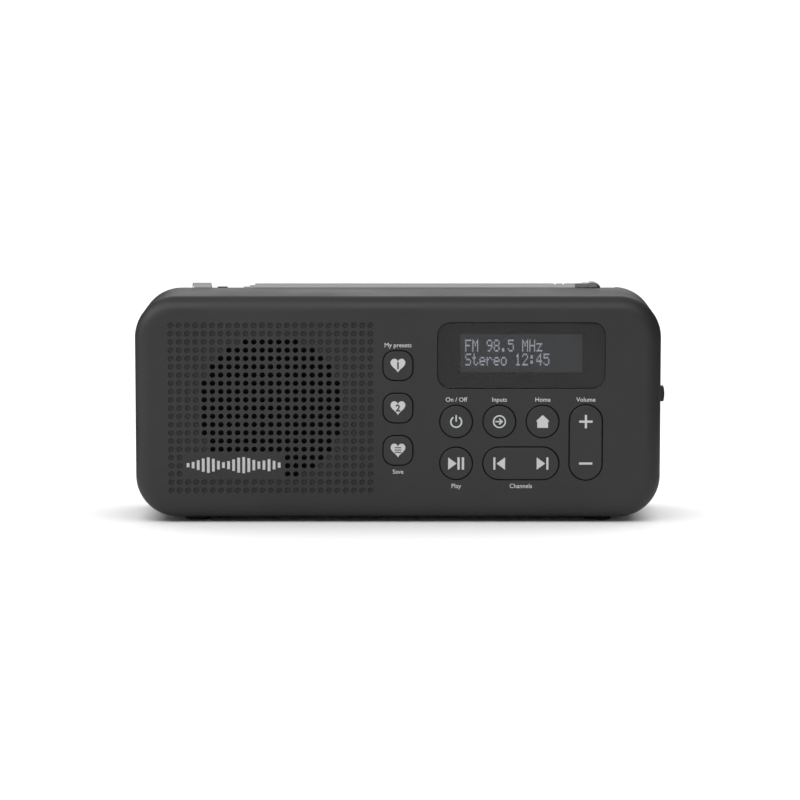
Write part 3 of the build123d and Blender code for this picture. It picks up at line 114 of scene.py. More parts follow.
# name: (side, gap from the case, front end, back end, height), in metres
FLAGS = {"flag_left": (-1, 0.045, -0.01, 0.75, 0.16), "flag_right": (1, 0.1, -0.25, 0.75, 0.2)}
for flag_name, (side, gap, flag_front, flag_back, flag_height) in FLAGS.items():
    flag_x = side * (case_high.x + gap)
    foot, top = MM, MM + flag_height
    flag_corners = [(flag_x, flag_front, foot), (flag_x, flag_back, foot)]
    flag_corners += [(flag_x, flag_back, top), (flag_x, flag_front, top)]
    flag = card(flag_name, flag_corners, "050505", 1.0)
    flag.visible_camera = False
    flag.visible_diffuse = False
    flag.visible_transmission = False
    flag.visible_shadow = False

BACKDROP_SEEN = 1.15
BACKDROP_LIGHT = 1.85
ROOM_LIGHT = 0.5
UNMIRRORED_SHARE = 0.35
BACKDROP_FADES_UP = (0.25, 0.7)
BACKDROP_FADES_IN = (-0.1, 0.5)
world = bpy.data.worlds.new("studio")
scene.world = world
world.use_nodes = True
sky = world.node_tree
sky.nodes.clear()
toward = add(sky, "ShaderNodeSeparateXYZ", {0: add(sky, "ShaderNodeTexCoord").outputs["Generated"]})
fades = []
for axis, (start, end), at_start in (("Z", BACKDROP_FADES_UP, 1.0), ("Y", BACKDROP_FADES_IN, 0.0)):
    span = {"Value": toward.outputs[axis], "From Min": start, "From Max": end}
    span |= {"To Min": at_start, "To Max": 1.0 - at_start}
    fades.append(add(sky, "ShaderNodeMapRange", span, interpolation_type="SMOOTHSTEP").outputs[0])
low_behind = add(sky, "ShaderNodeMath", {0: fades[0], 1: fades[1]}, operation="MULTIPLY")
room = add(
    sky,
    "ShaderNodeMapRange",
    {"Value": low_behind.outputs[0], "To Min": ROOM_LIGHT, "To Max": BACKDROP_LIGHT},
)
ray = add(sky, "ShaderNodeLightPath")
share = add(
    sky,
    "ShaderNodeMapRange",
    {"Value": ray.outputs["Is Diffuse Ray"], "To Min": 1.0, "To Max": UNMIRRORED_SHARE},
)
levels = {0: room.outputs["Result"], 1: share.outputs["Result"]}
room_level = add(sky, "ShaderNodeMath", levels, operation="MULTIPLY")
room_light = add(sky, "ShaderNodeBackground", {"Strength": room_level.outputs[0]})
room_light.inputs["Color"].default_value = linear("FFFFFF")
seen = add(sky, "ShaderNodeBackground", {"Strength": BACKDROP_SEEN})
seen.inputs["Color"].default_value = linear("FFFFFF")
ways = {"Fac": ray.outputs["Is Camera Ray"], 1: room_light.outputs[0], 2: seen.outputs[0]}
mixed = add(sky, "ShaderNodeMixShader", ways)
add(sky, "ShaderNodeOutputWorld", {"Surface": mixed.outputs[0]})

CHROMED = ["aerial_tube", "aerial_section_2", "aerial_section_3", "aerial_rod"]
CHROMED += ["aerial_tip", "aerial_yoke", "aerial_pin", "aerial_post"]
LAMPS = {
    # name: (place, aimed at, width, height, watts, does it light the table, does it light the chrome)
    "table_lamp": ((0.0, 0.0, 1.6), (0, 0.01, 0), 3.6, 3.0, 72.0, True, False),
    "front_top_strip": ((-0.1, -0.85, 1.15), (0, 0, 0.05), 1.8, 0.45, 14.5, False, False),
    "upper_left_box": ((-1.1, -0.25, 0.95), (0, 0, 0.04), 0.7, 0.7, 9.0, False, True),
}
for name, (place, target, width, height, watts, lights_table, lights_chrome) in LAMPS.items():
    lamp = bpy.data.lights.new(name, "AREA")
    lamp.shape = "RECTANGLE"
    lamp.size = width
    lamp.size_y = height
    lamp.energy = watts
    holder = bpy.data.objects.new(name, lamp)
    scene.collection.objects.link(holder)
    holder.location = place
    holder.rotation_euler = (Vector(target) - Vector(place)).to_track_quat("-Z", "Y").to_euler()
    # The table lamp lights nothing but the table. The other lamps light all except what is linked here.
    receivers = bpy.data.collections.new(name + "_receivers")
    receivers.objects.link(table_top)
    if not lights_table and not lights_chrome:
        for node in CHROMED:
            receivers.objects.link(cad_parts[node])
    for entry in receivers.collection_objects:
        entry.light_linking.link_state = "INCLUDE" if lights_table else "EXCLUDE"
    holder.light_linking.receiver_collection = receivers


# ---- Front shell ----
# One injection moulding in black ABS: the perforated speaker panel, the key holes, the seat of the
# lens and the case's front edge. The tool was spark eroded, so the skin is evenly matt.
TONE_SPREAD = (0.7, 1.3)
CLOUD_SPREAD = (0.3, 0.7)
RELIEF_STRENGTH = 0.6


# The grains are drawn several times coarser than the real ones, which are too fine to show.
def finish(name, dark, light, rough, grain_mm, grain_depth, clouds_mm=28, stretch=(1, 1, 1), **values):
    """A surface with a fine grain and wide faint clouds. Both shift its tone, and the clouds its sheen."""
    made = bpy.data.materials.new(name)
    made.use_nodes = True
    tree = made.node_tree
    shader = tree.nodes["Principled BSDF"]
    for key, value in values.items():
        shader.inputs[key.replace("_", " ")].default_value = value
    own = add(tree, "ShaderNodeTexCoord").outputs["Object"]
    place = add(tree, "ShaderNodeMapping", {"Vector": own, "Scale": stretch}).outputs[0]
    clouds = add(tree, "ShaderNodeTexNoise", {"Vector": place, "Scale": 1 / (clouds_mm * MM), "Detail": 3.0})
    grain = add(tree, "ShaderNodeTexNoise", {"Vector": place, "Scale": 1 / (grain_mm * MM), "Detail": 2.0})
    tone = add(tree, "ShaderNodeMath", {0: clouds.outputs[0], 1: grain.outputs[0]}, operation="ADD")
    # Inputs 7 to 10 are the vector kinds of From Min, From Max, To Min and To Max.
    tones = {"Vector": tone.outputs[0], 7: TONE_SPREAD[:1] * 3, 8: TONE_SPREAD[1:] * 3}
    tones |= {9: linear(dark)[:3], 10: linear(light)[:3]}
    colour = add(tree, "ShaderNodeMapRange", tones, data_type="FLOAT_VECTOR")
    tree.links.new(colour.outputs["Vector"], shader.inputs["Base Color"])
    sheens = {"Value": clouds.outputs[0], "From Min": CLOUD_SPREAD[0], "From Max": CLOUD_SPREAD[1]}
    sheen = add(tree, "ShaderNodeMapRange", sheens | {"To Min": rough[0], "To Max": rough[1]})
    tree.links.new(sheen.outputs["Result"], shader.inputs["Roughness"])
    relief = {"Height": grain.outputs[0], "Distance": grain_depth * MM, "Strength": RELIEF_STRENGTH}
    tree.links.new(add(tree, "ShaderNodeBump", relief).outputs[0], shader.inputs["Normal"])
    return made


def dress(material, *names):
    """Gives CAD nodes their finish."""
    for name in names:
        mesh_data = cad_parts[name].data
        mesh_data.materials.clear()
        mesh_data.materials.append(material)


def ring(centre_x, centre_z, width, height, radius, y, steps=12):
    """Points round a rounded rectangle that faces the front, in metres from sizes in millimetres."""
    points = []
    for corner in range(4):
        side_x = width / 2 - radius
        side_z = height / 2 - radius
        mid_x = centre_x + (side_x if corner in (0, 3) else -side_x)
        mid_z = centre_z + (side_z if corner in (0, 1) else -side_z)
        for step in range(steps + 1):
            turn = math.pi / 2 * (corner + step / steps)
            point = (mid_x + radius * math.cos(turn), y, mid_z + radius * math.sin(turn))
            points.append(Vector(point) * MM)
    return points


def loft(mesh, rings):
    """Faces between rings of equally many points; the faces look out from the ring's middle as y falls."""
    loops = [[mesh.verts.new(point) for point in points] for points in rings]
    for near, far in zip(loops, loops[1:]):
        for i in range(len(near)):
            j = (i + 1) % len(near)
            mesh.faces.new((near[i], near[j], far[j], far[i]))
    return loops


def piece(name, mesh_data, material, body):
    """Links a finished mesh, gives it its material and lets it ride on its body."""
    made = bpy.data.objects.new(name, mesh_data)
    scene.collection.objects.link(made)
    if material:
        mesh_data.materials.clear()
        mesh_data.materials.append(material)
    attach(made, body)
    return made


def smooth_below(mesh_data, degrees):
    """Smooth shading across edges that turn by less than so many degrees."""
    mesh_data.shade_smooth()
    mesh_data.set_sharp_from_angle(angle=math.radians(degrees))


# Moulded ABS, black all through: the eroded skin scatters the light, so nothing on it mirrors sharply.
case_abs = finish(
    "black_abs_spark_eroded", "242425", "2C2C2D", (0.5, 0.6), 0.3, 0.02, IOR=1.53, Specular_IOR_Level=0.3
)
CASE_CORNER = 14.5
FRONT_EDGE = 5.5
WALL = 2.2
SHELL_DEPTH = 28.0
EDGE_STEPS = 12
CORNER_STEPS = 24
SUPPORT = 0.4
SPLIT_BREAK = 0.12
HOLE_BREAK = 0.1
front_y = case_low.y / MM
width = (case_high.x - case_low.x) / MM
height = (case_high.z - case_low.z) / MM
middle_z = (case_high.z + case_low.z) / 2 / MM
split_y = front_y + SHELL_DEPTH
panel_back = front_y + WALL


def case_ring(inset, y):
    """The case's outline taken in by inset."""
    return ring(0, middle_z, width - 2 * inset, height - 2 * inset, CASE_CORNER - inset, y, CORNER_STEPS)


skin = [case_ring(WALL, panel_back), case_ring(WALL, split_y)]
skin += [case_ring(SPLIT_BREAK, split_y), case_ring(0, split_y - SPLIT_BREAK)]
for step in range(EDGE_STEPS + 1):
    turn = math.pi / 2 * step / EDGE_STEPS
    inset = FRONT_EDGE * (1 - math.cos(turn))
    skin.append(case_ring(inset, front_y + FRONT_EDGE * (1 - math.sin(turn))))
skin.append(case_ring(FRONT_EDGE + SUPPORT, front_y))
shell = bmesh.new()
loft(shell, skin)

# The holes for the keys and the lens: a broken edge, then a wall through the panel.
KEY_GAP = 0.35
ROUND_KEYS = ["standby_key", "source_key", "back_key", "select_key"]
PRESET_KEYS = ["preset_1_key", "preset_2_key", "add_key"]
PRESET_SIDE = 10.0
PRESET_CORNER = 3.7
KEY_R = 5.5
ROCKER_LENGTH = 26.0
ROCKER_WIDTH = 11.1


def centre_of(node):
    """The middle of a node's box in the front view, in millimetres."""
    low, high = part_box(node)
    return (low.x + high.x) / 2 / MM, (low.z + high.z) / 2 / MM


key_shapes = {name: (*centre_of(name), 2 * KEY_R, 2 * KEY_R, KEY_R) for name in ROUND_KEYS}
key_shapes |= {name: (*centre_of(name), PRESET_SIDE, PRESET_SIDE, PRESET_CORNER) for name in PRESET_KEYS}
key_shapes["station_rocker"] = (*centre_of("station_rocker"), ROCKER_LENGTH, ROCKER_WIDTH, ROCKER_WIDTH / 2)
key_shapes["volume_rocker"] = (*centre_of("volume_rocker"), ROCKER_WIDTH, ROCKER_LENGTH, ROCKER_WIDTH / 2)


def grown(shape, gap, y):
    """A key's outline grown by a gap."""
    x, z, shape_width, shape_height, radius = shape
    return ring(x, z, shape_width + 2 * gap, shape_height + 2 * gap, radius + gap, y)


front_loops = [case_ring(FRONT_EDGE + SUPPORT, front_y)]
back_loops = [case_ring(WALL, panel_back)]
for shape in key_shapes.values():
    hole = [grown(shape, KEY_GAP, panel_back), grown(shape, KEY_GAP, front_y + HOLE_BREAK)]
    hole += [grown(shape, KEY_GAP + HOLE_BREAK, front_y)]
    loft(shell, [list(reversed(points)) for points in hole])
    front_loops.append(hole[-1])
    back_loops.append(hole[0])

lens_low, lens_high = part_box("display_lens")
lens_width = (lens_high.x - lens_low.x) / MM
lens_height = (lens_high.z - lens_low.z) / MM
lens_x, lens_z = centre_of("display_lens")
LENS_CORNER = 4.25
LENS_GAP = 0.25
WINDOW = (44.0, 15.0, 0.8)
glass_x, glass_z = centre_of("lcd_glass")
seat_y = lens_high.y / MM


def lens_ring(gap, y):
    """The lens's outline grown by a gap."""
    return ring(lens_x, lens_z, lens_width + 2 * gap, lens_height + 2 * gap, LENS_CORNER + gap, y)


seat = [
    ring(glass_x, glass_z, *WINDOW, panel_back),
    ring(glass_x, glass_z, *WINDOW, seat_y),
    lens_ring(LENS_GAP, seat_y),
    lens_ring(LENS_GAP, front_y + HOLE_BREAK),
    lens_ring(LENS_GAP + HOLE_BREAK, front_y),
]
loft(shell, [list(reversed(points)) for points in seat])
front_loops.append(seat[-1])
back_loops.append(seat[0])

# The perforated panel. A grid of round holes goes through inside a disc over the driver and is blind
# around it; a block in the lower left corner stays plain for the printed badge.
GRILLE_X = -43.9
GRILLE_Z = 40.05
PITCH = 2.87
COLUMNS = 25
ROWS = 21
HOLE_R = 0.95
BLIND_DEPTH = 0.6
OPEN_PITCHES = 8.7
# The plain block for the badge, in pitches from the panel's centre.
BADGE_LEFT, BADGE_RIGHT = -10.5, 1.5
BADGE_LOW, BADGE_HIGH = -8.5, -5.5
HOLE_SIDES = 20


def socket_of(tree, name):
    """The identifier of a node group's input, by its name."""
    return next(i.identifier for i in tree.interface.items_tree if i.name == name and i.in_out == "INPUT")


def perforated_panel_tree():
    """Geometry nodes: fills the loops' mesh, pierced by the grid of holes, and gives each hole its wall."""
    tree = bpy.data.node_groups.new("perforated_panel", "GeometryNodeTree")
    sockets = {"Loops": "Geometry", "Pitch": "Float", "Hole Radius": "Float", "Edge Break": "Float"}
    sockets |= {"Blind Depth": "Float", "Wall": "Float", "Open Pitches": "Float", "Columns": "Int"}
    sockets |= {"Rows": "Int", "Centre": "Vector", "Skin": "Material", "Back": "Bool"}
    for name, kind in sockets.items():
        tree.interface.new_socket(name, in_out="INPUT", socket_type="NodeSocket" + kind)
    tree.interface.new_socket("Panel", in_out="OUTPUT", socket_type="NodeSocketGeometry")
    given = add(tree, "NodeGroupInput").outputs
    pitch, hole_radius, edge_break = given["Pitch"], given["Hole Radius"], given["Edge Break"]

    # The grid of places, without those behind the badge, parted into open holes and blind ones.
    column_gaps = add(tree, "ShaderNodeMath", {0: given["Columns"], 1: 1}, operation="SUBTRACT")
    row_gaps = add(tree, "ShaderNodeMath", {0: given["Rows"], 1: 1}, operation="SUBTRACT")
    across = add(tree, "ShaderNodeMath", {0: pitch, 1: column_gaps}, operation="MULTIPLY")
    upward = add(tree, "ShaderNodeMath", {0: pitch, 1: row_gaps}, operation="MULTIPLY")
    counts = {"Vertices X": given["Columns"], "Vertices Y": given["Rows"]}
    grid = add(tree, "GeometryNodeMeshGrid", {"Size X": across, "Size Y": upward} | counts)
    where = add(tree, "ShaderNodeSeparateXYZ", {0: add(tree, "GeometryNodeInputPosition")})
    column = add(tree, "ShaderNodeMath", {0: where.outputs["X"], 1: pitch}, operation="DIVIDE")
    row = add(tree, "ShaderNodeMath", {0: where.outputs["Y"], 1: pitch}, operation="DIVIDE")
    limits = [(column, BADGE_LEFT, "GREATER_THAN"), (column, BADGE_RIGHT, "LESS_THAN")]
    limits += [(row, BADGE_LOW, "GREATER_THAN"), (row, BADGE_HIGH, "LESS_THAN")]
    in_badge = True
    for place, limit, side in limits:
        inside = add(tree, "FunctionNodeCompare", {"A": place, "B": limit}, operation=side)
        in_badge = add(tree, "FunctionNodeBooleanMath", {0: in_badge, 1: inside}, operation="AND")
    points = add(tree, "GeometryNodeMeshToPoints", {"Mesh": grid})
    places = add(tree, "GeometryNodeDeleteGeometry", {"Geometry": points, "Selection": in_badge})
    squares = [add(tree, "ShaderNodeMath", {0: place, 1: 2}, operation="POWER") for place in (column, row)]
    square = add(tree, "ShaderNodeMath", dict(enumerate(squares)), operation="ADD")
    reach = add(tree, "ShaderNodeMath", {0: square}, operation="SQRT")
    open_reach = {"A": reach, "B": given["Open Pitches"]}
    is_open = add(tree, "FunctionNodeCompare", open_reach, operation="LESS_EQUAL")
    parts = add(tree, "GeometryNodeSeparateGeometry", {"Geometry": places, "Selection": is_open})
    edge_radius = add(tree, "ShaderNodeMath", {0: hole_radius, 1: edge_break}, operation="ADD")

    def placed(where_to, shape):
        """The shape on every point, moved to the panel's centre."""
        spread = add(tree, "GeometryNodeInstanceOnPoints", {"Points": where_to, "Instance": shape})
        return add(tree, "GeometryNodeTransform", {"Geometry": spread, "Translation": given["Centre"]})

    def sunk(shape, distance, share=1.0):
        """The shape, moved into the panel by a share of a distance."""
        inward = add(tree, "ShaderNodeMath", {0: distance, 1: -share}, operation="MULTIPLY")
        shift = add(tree, "ShaderNodeCombineXYZ", {"Z": inward})
        return add(tree, "GeometryNodeTransform", {"Geometry": shape, "Translation": shift})

    def liner(depth, has_floor):
        """A hole's broken edge and wall, with a floor where the hole is blind."""
        cone = {"Vertices": HOLE_SIDES, "Radius Top": edge_radius, "Radius Bottom": hole_radius}
        chamfer = add(tree, "GeometryNodeMeshCone", cone | {"Depth": edge_break}, fill_type="NONE")
        below = add(tree, "ShaderNodeMath", {0: depth, 1: edge_break}, operation="SUBTRACT")
        tube = {"Vertices": HOLE_SIDES, "Radius": hole_radius, "Depth": below}
        bore = add(tree, "GeometryNodeMeshCylinder", tube, fill_type="NONE")
        twice_middle = add(tree, "ShaderNodeMath", {0: depth, 1: edge_break}, operation="ADD")
        sides = [sunk(chamfer, edge_break), sunk(bore, twice_middle, 0.5)]
        walls = add(tree, "GeometryNodeFlipFaces", {0: add(tree, "GeometryNodeJoinGeometry", {0: sides})})
        if not has_floor:
            return walls
        disc = {"Vertices": HOLE_SIDES, "Radius": hole_radius}
        floor = sunk(add(tree, "GeometryNodeMeshCircle", disc, fill_type="NGON"), depth)
        return add(tree, "GeometryNodeJoinGeometry", {0: [walls, floor]})

    def filled(where_to, radius):
        """The face inside the loops, less a round hole on every point."""
        circle = add(tree, "GeometryNodeCurvePrimitiveCircle", {"Resolution": HOLE_SIDES, "Radius": radius})
        circles = add(tree, "GeometryNodeRealizeInstances", {0: placed(where_to, circle)})
        outlines = add(tree, "GeometryNodeMeshToCurve", {"Mesh": given["Loops"]})
        together = add(tree, "GeometryNodeJoinGeometry", {0: [circles, outlines]})
        return add(tree, "GeometryNodeFillCurve", {0: together}, mode="TRIANGLES")

    open_holes, blind_holes = parts.outputs
    fronts = [
        filled(places, edge_radius),
        placed(open_holes, liner(given["Wall"], False)),
        placed(blind_holes, liner(given["Blind Depth"], True)),
    ]
    front = add(tree, "GeometryNodeJoinGeometry", {0: fronts})
    back = add(tree, "GeometryNodeFlipFaces", {0: filled(open_holes, hole_radius)})
    ways = {"Switch": given["Back"], "False": front, "True": back}
    chosen = add(tree, "GeometryNodeSwitch", ways, input_type="GEOMETRY")
    real = add(tree, "GeometryNodeRealizeInstances", {0: chosen})
    skinned = add(tree, "GeometryNodeSetMaterial", {"Geometry": real, "Material": given["Skin"]})
    add(tree, "NodeGroupOutput", {0: skinned})
    return tree


SHORTEST_EDGE = 0.005
WELD = 0.002
SMOOTH_ANGLE = 32


def loops_mesh(loops):
    """Closed loops of edges, laid down flat: front-view X and Z become X and Y."""
    flat = bmesh.new()
    for points in loops:
        corners = [p for p, q in zip(points, points[1:] + points[:1]) if (p - q).length > SHORTEST_EDGE * MM]
        verts = [flat.verts.new((p.x, p.z, 0)) for p in corners]
        for a, b in zip(verts, verts[1:] + verts[:1]):
            flat.edges.new((a, b))
    made = bpy.data.meshes.new("panel_loops")
    flat.to_mesh(made)
    flat.free()
    return made


def made_by(tree, base_mesh, values):
    """Runs a geometry node tree on a mesh and gives the result as a plain mesh."""
    carrier = bpy.data.objects.new("carrier", base_mesh)
    scene.collection.objects.link(carrier)
    modifier = carrier.modifiers.new("maker", "NODES")
    modifier.node_group = tree
    for name, value in values.items():
        modifier[socket_of(tree, name)] = value
    bpy.context.view_layer.update()
    made = bpy.data.meshes.new_from_object(carrier.evaluated_get(bpy.context.evaluated_depsgraph_get()))
    carrier.modifiers.remove(modifier)
    bpy.data.objects.remove(carrier)
    return made


panel_tree = perforated_panel_tree()
panel_values = {
    "Pitch": PITCH * MM,
    "Hole Radius": HOLE_R * MM,
    "Edge Break": HOLE_BREAK * MM,
    "Blind Depth": BLIND_DEPTH * MM,
    "Wall": WALL * MM,
    "Open Pitches": OPEN_PITCHES,
    "Columns": COLUMNS,
    "Rows": ROWS,
    "Centre": (GRILLE_X * MM, GRILLE_Z * MM, 0),
    "Skin": case_abs,
}
stand_up = Matrix.Rotation(math.pi / 2, 4, "X")
for loops, is_back, y in ((front_loops, False, front_y), (back_loops, True, panel_back)):
    panel = made_by(panel_tree, loops_mesh(loops), panel_values | {"Back": is_back})
    panel.transform(Matrix.Translation((0, y * MM, 0)) @ stand_up)
    shell.from_mesh(panel)
bmesh.ops.remove_doubles(shell, verts=shell.verts, dist=WELD * MM)
shell_mesh = bpy.data.meshes.new("front_shell_moulding")
shell.to_mesh(shell_mesh)
shell.free()
smooth_below(shell_mesh, SMOOTH_ANGLE)
front_shell = piece("front_shell_moulding", shell_mesh, case_abs, "case")
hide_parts("front_shell")


# ---- Rear shell, battery door and feet ----
# The back of the case is a second moulding in the same ABS, held by five screws. The door over the cells
# lifts off with it, and four soft feet are pressed into the base.
dress(case_abs, "rear_shell", "battery_door")
# Moulded thermoplastic rubber: no shine at all, and a little grey from handling.
foot_rubber = finish("moulded_black_rubber", "161616", "242424", (0.75, 0.9), 0.5, 0.04, IOR=1.5)
dress(foot_rubber, "rubber_feet", "aerial_rest")
# Zinc plated steel: a pale metal with a faint crystalline cloud in its shine.
zinc_plate = finish("zinc_plated_steel", "A9ABAD", "C6C8CA", (0.22, 0.42), 0.25, 0.008, 6, Metallic=1.0)
dress(zinc_plate, "case_screws", "small_screws", "speaker_screws", "aerial_screw")


# ---- Display ----
# A smoked acrylic lens sits flush in the front. Behind it is a dot matrix glass of two lines with sixteen
# characters each, lit from behind by a clear moulded guide in a black frame.
def plain(name, values):
    """A material with one even finish, for inks and lit dots too small to show a grain."""
    made = bpy.data.materials.new(name)
    made.use_nodes = True
    for key, value in values.items():
        made.node_tree.nodes["Principled BSDF"].inputs[key].default_value = value
    return made


# Cast acrylic, tinted nearly black: a hard shine, and only what is lit behind it comes through.
smoked_acrylic = finish(
    "smoked_acrylic", "707174", "747578", (0.05, 0.07), 0.6, 0.0005, 40, IOR=1.38, Transmission_Weight=1.0
)
dress(smoked_acrylic, "display_lens")
# Float glass under a polariser film: dark grey and smooth.
lcd_film = finish("polariser_film", "0A0B0C", "0D0E0F", (0.2, 0.28), 0.3, 0.001, 30, IOR=1.52)
dress(lcd_film, "lcd_glass")
# Clear acrylic, moulded: a pale block with polished faces.
clear_guide = finish("clear_moulded_acrylic", "D8DADA", "E6E8E8", (0.1, 0.2), 2.0, 0.002, 20, IOR=1.49)
dress(clear_guide, "lcd_light_guide")
# Nylon filled with glass: black, with the faint cloudy sheen of the fibres.
black_nylon = finish("black_glass_filled_nylon", "1A1A1B", "272728", (0.4, 0.6), 0.35, 0.02, 12, IOR=1.53)
dress(black_nylon, "lcd_frame", "lock_switch", "headphone_socket", "battery_tray", "board_chips")


def slab(mesh, outline, front, back):
    """A closed plate between two depths, from an outline of front-view x and z in millimetres."""
    area = sum(a[0] * b[1] - b[0] * a[1] for a, b in zip(outline, outline[1:] + outline[:1]))
    points = outline if area > 0 else outline[::-1]
    near = [mesh.verts.new(Vector((x, front, z)) * MM) for x, z in points]
    far = [mesh.verts.new(Vector((x, back, z)) * MM) for x, z in points]
    faces = [mesh.faces.new(near), mesh.faces.new(far[::-1])]
    for i in range(len(points)):
        j = (i + 1) % len(points)
        mesh.faces.new((near[j], near[i], far[i], far[j]))
    bmesh.ops.triangulate(mesh, faces=[f for f in faces if len(f.verts) > 4])


def slabs_piece(name, outlines, front, back, material, body):
    """One mesh of several closed plates."""
    plates = bmesh.new()
    for outline in outlines:
        slab(plates, outline, front, back)
    mesh_data = bpy.data.meshes.new(name)
    plates.to_mesh(mesh_data)
    plates.free()
    return piece(name, mesh_data, material, body)


def box_outline(x_low, x_high, z_low, z_high):
    """The four corners of an upright rectangle."""
    return [(x_low, z_low), (x_high, z_low), (x_high, z_high), (x_low, z_high)]


ACTIVE_WIDTH = 42.1
ACTIVE_HEIGHT = 13.2
FILM_THICKNESS = 0.03
glass_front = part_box("lcd_glass")[0].y / MM
# The unlit field of the display: a dark grey film with a trace of the backlight in it.
lit_field = finish(
    "lit_display_field", "55585C", "5A5D61", (0.3, 0.4), 0.6, 0.001, 20, Emission_Strength=0.12
)
lit_field.node_tree.nodes["Principled BSDF"].inputs["Emission Color"].default_value = linear("F2F6FF")
across = (glass_x - ACTIVE_WIDTH / 2, glass_x + ACTIVE_WIDTH / 2)
active_area = box_outline(*across, glass_z - ACTIVE_HEIGHT / 2, glass_z + ACTIVE_HEIGHT / 2)
field_front = glass_front - FILM_THICKNESS
slabs_piece("lcd_active_area", [active_area], field_front, glass_front, lit_field, "case")

# Each row of dots in a character is a number of five bits.
GLYPHS = {
    "F": "1F10101E101010", "M": "111B1515111111", "9": "0E11110F01020C", "8": "0E11110E11110E",
    "5": "1F101E0101110E", "H": "1111111F111111", "z": "00001F0204081F", "S": "0F10100E01011E",
    "t": "08081C08080906", "e": "00000E111F100E", "r": "00001619101010", "o": "00000E1111110E",
    "1": "040C040404040E", "2": "0E11010204081F", "4": "02060A121F0202", ".": "00000000000C0C",
    ":": "000C0C000C0C00",
}  # fmt: skip
LINES = {"FM 98.5 MHz": 63.67, "Stereo 12:45": 58.83}
TEXT_LEFT = 23.2
CHARACTER_PITCH = 2.457
DOT_PITCH_X = 0.41
DOT_PITCH_Z = 0.603
DOT_SHARE = 0.86
DOT_COLUMNS = 5
dot_places = []
for text, line_top in LINES.items():
    for place, character in enumerate(text):
        rows = GLYPHS.get(character, "")
        for row in range(len(rows) // 2):
            bits = int(rows[2 * row : 2 * row + 2], 16)
            for column in range(DOT_COLUMNS):
                if bits >> (DOT_COLUMNS - 1 - column) & 1:
                    x = TEXT_LEFT + place * CHARACTER_PITCH + (column + 0.5) * DOT_PITCH_X
                    z = line_top - (row + 0.5) * DOT_PITCH_Z
                    dot_places.append((x * MM, field_front * MM, z * MM))


def dots_tree():
    """Geometry nodes: a thin block on every point."""
    tree = bpy.data.node_groups.new("display_dots", "GeometryNodeTree")
    for name, kind in (("Points", "Geometry"), ("Dot Size", "Vector"), ("Dot Finish", "Material")):
        tree.interface.new_socket(name, in_out="INPUT", socket_type="NodeSocket" + kind)
    tree.interface.new_socket("Dots", in_out="OUTPUT", socket_type="NodeSocketGeometry")
    given = add(tree, "NodeGroupInput").outputs
    dot = add(tree, "GeometryNodeMeshCube", {"Size": given["Dot Size"]})
    spread = add(tree, "GeometryNodeInstanceOnPoints", {"Points": given["Points"], "Instance": dot})
    real = add(tree, "GeometryNodeRealizeInstances", {0: spread})
    coloured = add(tree, "GeometryNodeSetMaterial", {"Geometry": real, "Material": given["Dot Finish"]})
    add(tree, "NodeGroupOutput", {0: coloured})
    return tree


# A dot of the display when it is on: white light from the guide.
lit_dot = plain("lit_display_dot", {"Base Color": linear("E8ECF0"), "Emission Strength": 2.3})
lit_dot.node_tree.nodes["Principled BSDF"].inputs["Emission Color"].default_value = linear("E6ECF2")
dot_points = bpy.data.meshes.new("dot_points")
dot_points.from_pydata(dot_places, [], [])
dot_size = (DOT_PITCH_X * DOT_SHARE * MM, FILM_THICKNESS * MM, DOT_PITCH_Z * DOT_SHARE * MM)
dots = made_by(dots_tree(), dot_points, {"Dot Size": dot_size, "Dot Finish": lit_dot})
piece("lcd_dots", dots, None, "case")

# ---- Keys and rockers ----
# Seven keys and two rockers in the case's own ABS stand in their holes and push on the mat behind them.
# Their marks are pad printed in pale grey.
# The same black ABS, from a tool polished a little finer: slightly more sheen than the case.
key_abs = finish(
    "black_abs_satin", "252526", "2C2C2D", (0.44, 0.54), 0.25, 0.01, IOR=1.53, Specular_IOR_Level=0.3
)
dress(key_abs, *ROUND_KEYS, *PRESET_KEYS, "station_rocker", "volume_rocker", "lock_slider")
# Pad printing ink: an even, opaque grey with no grain of its own.
pale_ink = plain("pale_grey_pad_print", {"Base Color": linear("BCBDBE"), "Roughness": 0.55, "IOR": 1.5})
dark_ink = plain("black_pad_print", {"Base Color": linear("2A2A2B"), "Roughness": 0.5, "IOR": 1.5})
INK = 0.02


def arc_band(x, z, outer, inner, start, end, steps=28):
    """A flat band along an arc, in degrees from +X towards +Z, as a list of four-cornered outlines."""
    turns = [math.radians(start + (end - start) * i / steps) for i in range(steps + 1)]
    near = [(x + outer * math.cos(t), z + outer * math.sin(t)) for t in turns]
    far = [(x + inner * math.cos(t), z + inner * math.sin(t)) for t in turns]
    return [[near[i], near[i + 1], far[i + 1], far[i]] for i in range(steps)]


def bar(x, z, bar_width, bar_height):
    """A rectangle from its middle."""
    return box_outline(x - bar_width / 2, x + bar_width / 2, z - bar_height / 2, z + bar_height / 2)


HEART_STEPS = 48


def heart(x, z, heart_width, heart_height):
    """A heart with its point down: the usual curve of sines and cosines, which is 32 wide and 29 high."""
    points = []
    for i in range(HEART_STEPS):
        t = 2 * math.pi * i / HEART_STEPS
        across = 16 * math.sin(t) ** 3 / 32
        up = (13 * math.cos(t) - 5 * math.cos(2 * t) - 2 * math.cos(3 * t) - math.cos(4 * t) + 2.5) / 29
        points.append((x + heart_width * across, z + heart_height * up))
    return points


def printed(name, outlines, body, ink=None, layer=0):
    """Ink on a face that stands at the key fronts' height. layer lifts one ink over another."""
    face = key_front - layer * INK
    return slabs_piece(name, outlines, face - INK, face, ink or pale_ink, body)


# The height of a capital in Blender's own font, at size 1.
CAP_TOP = 0.729


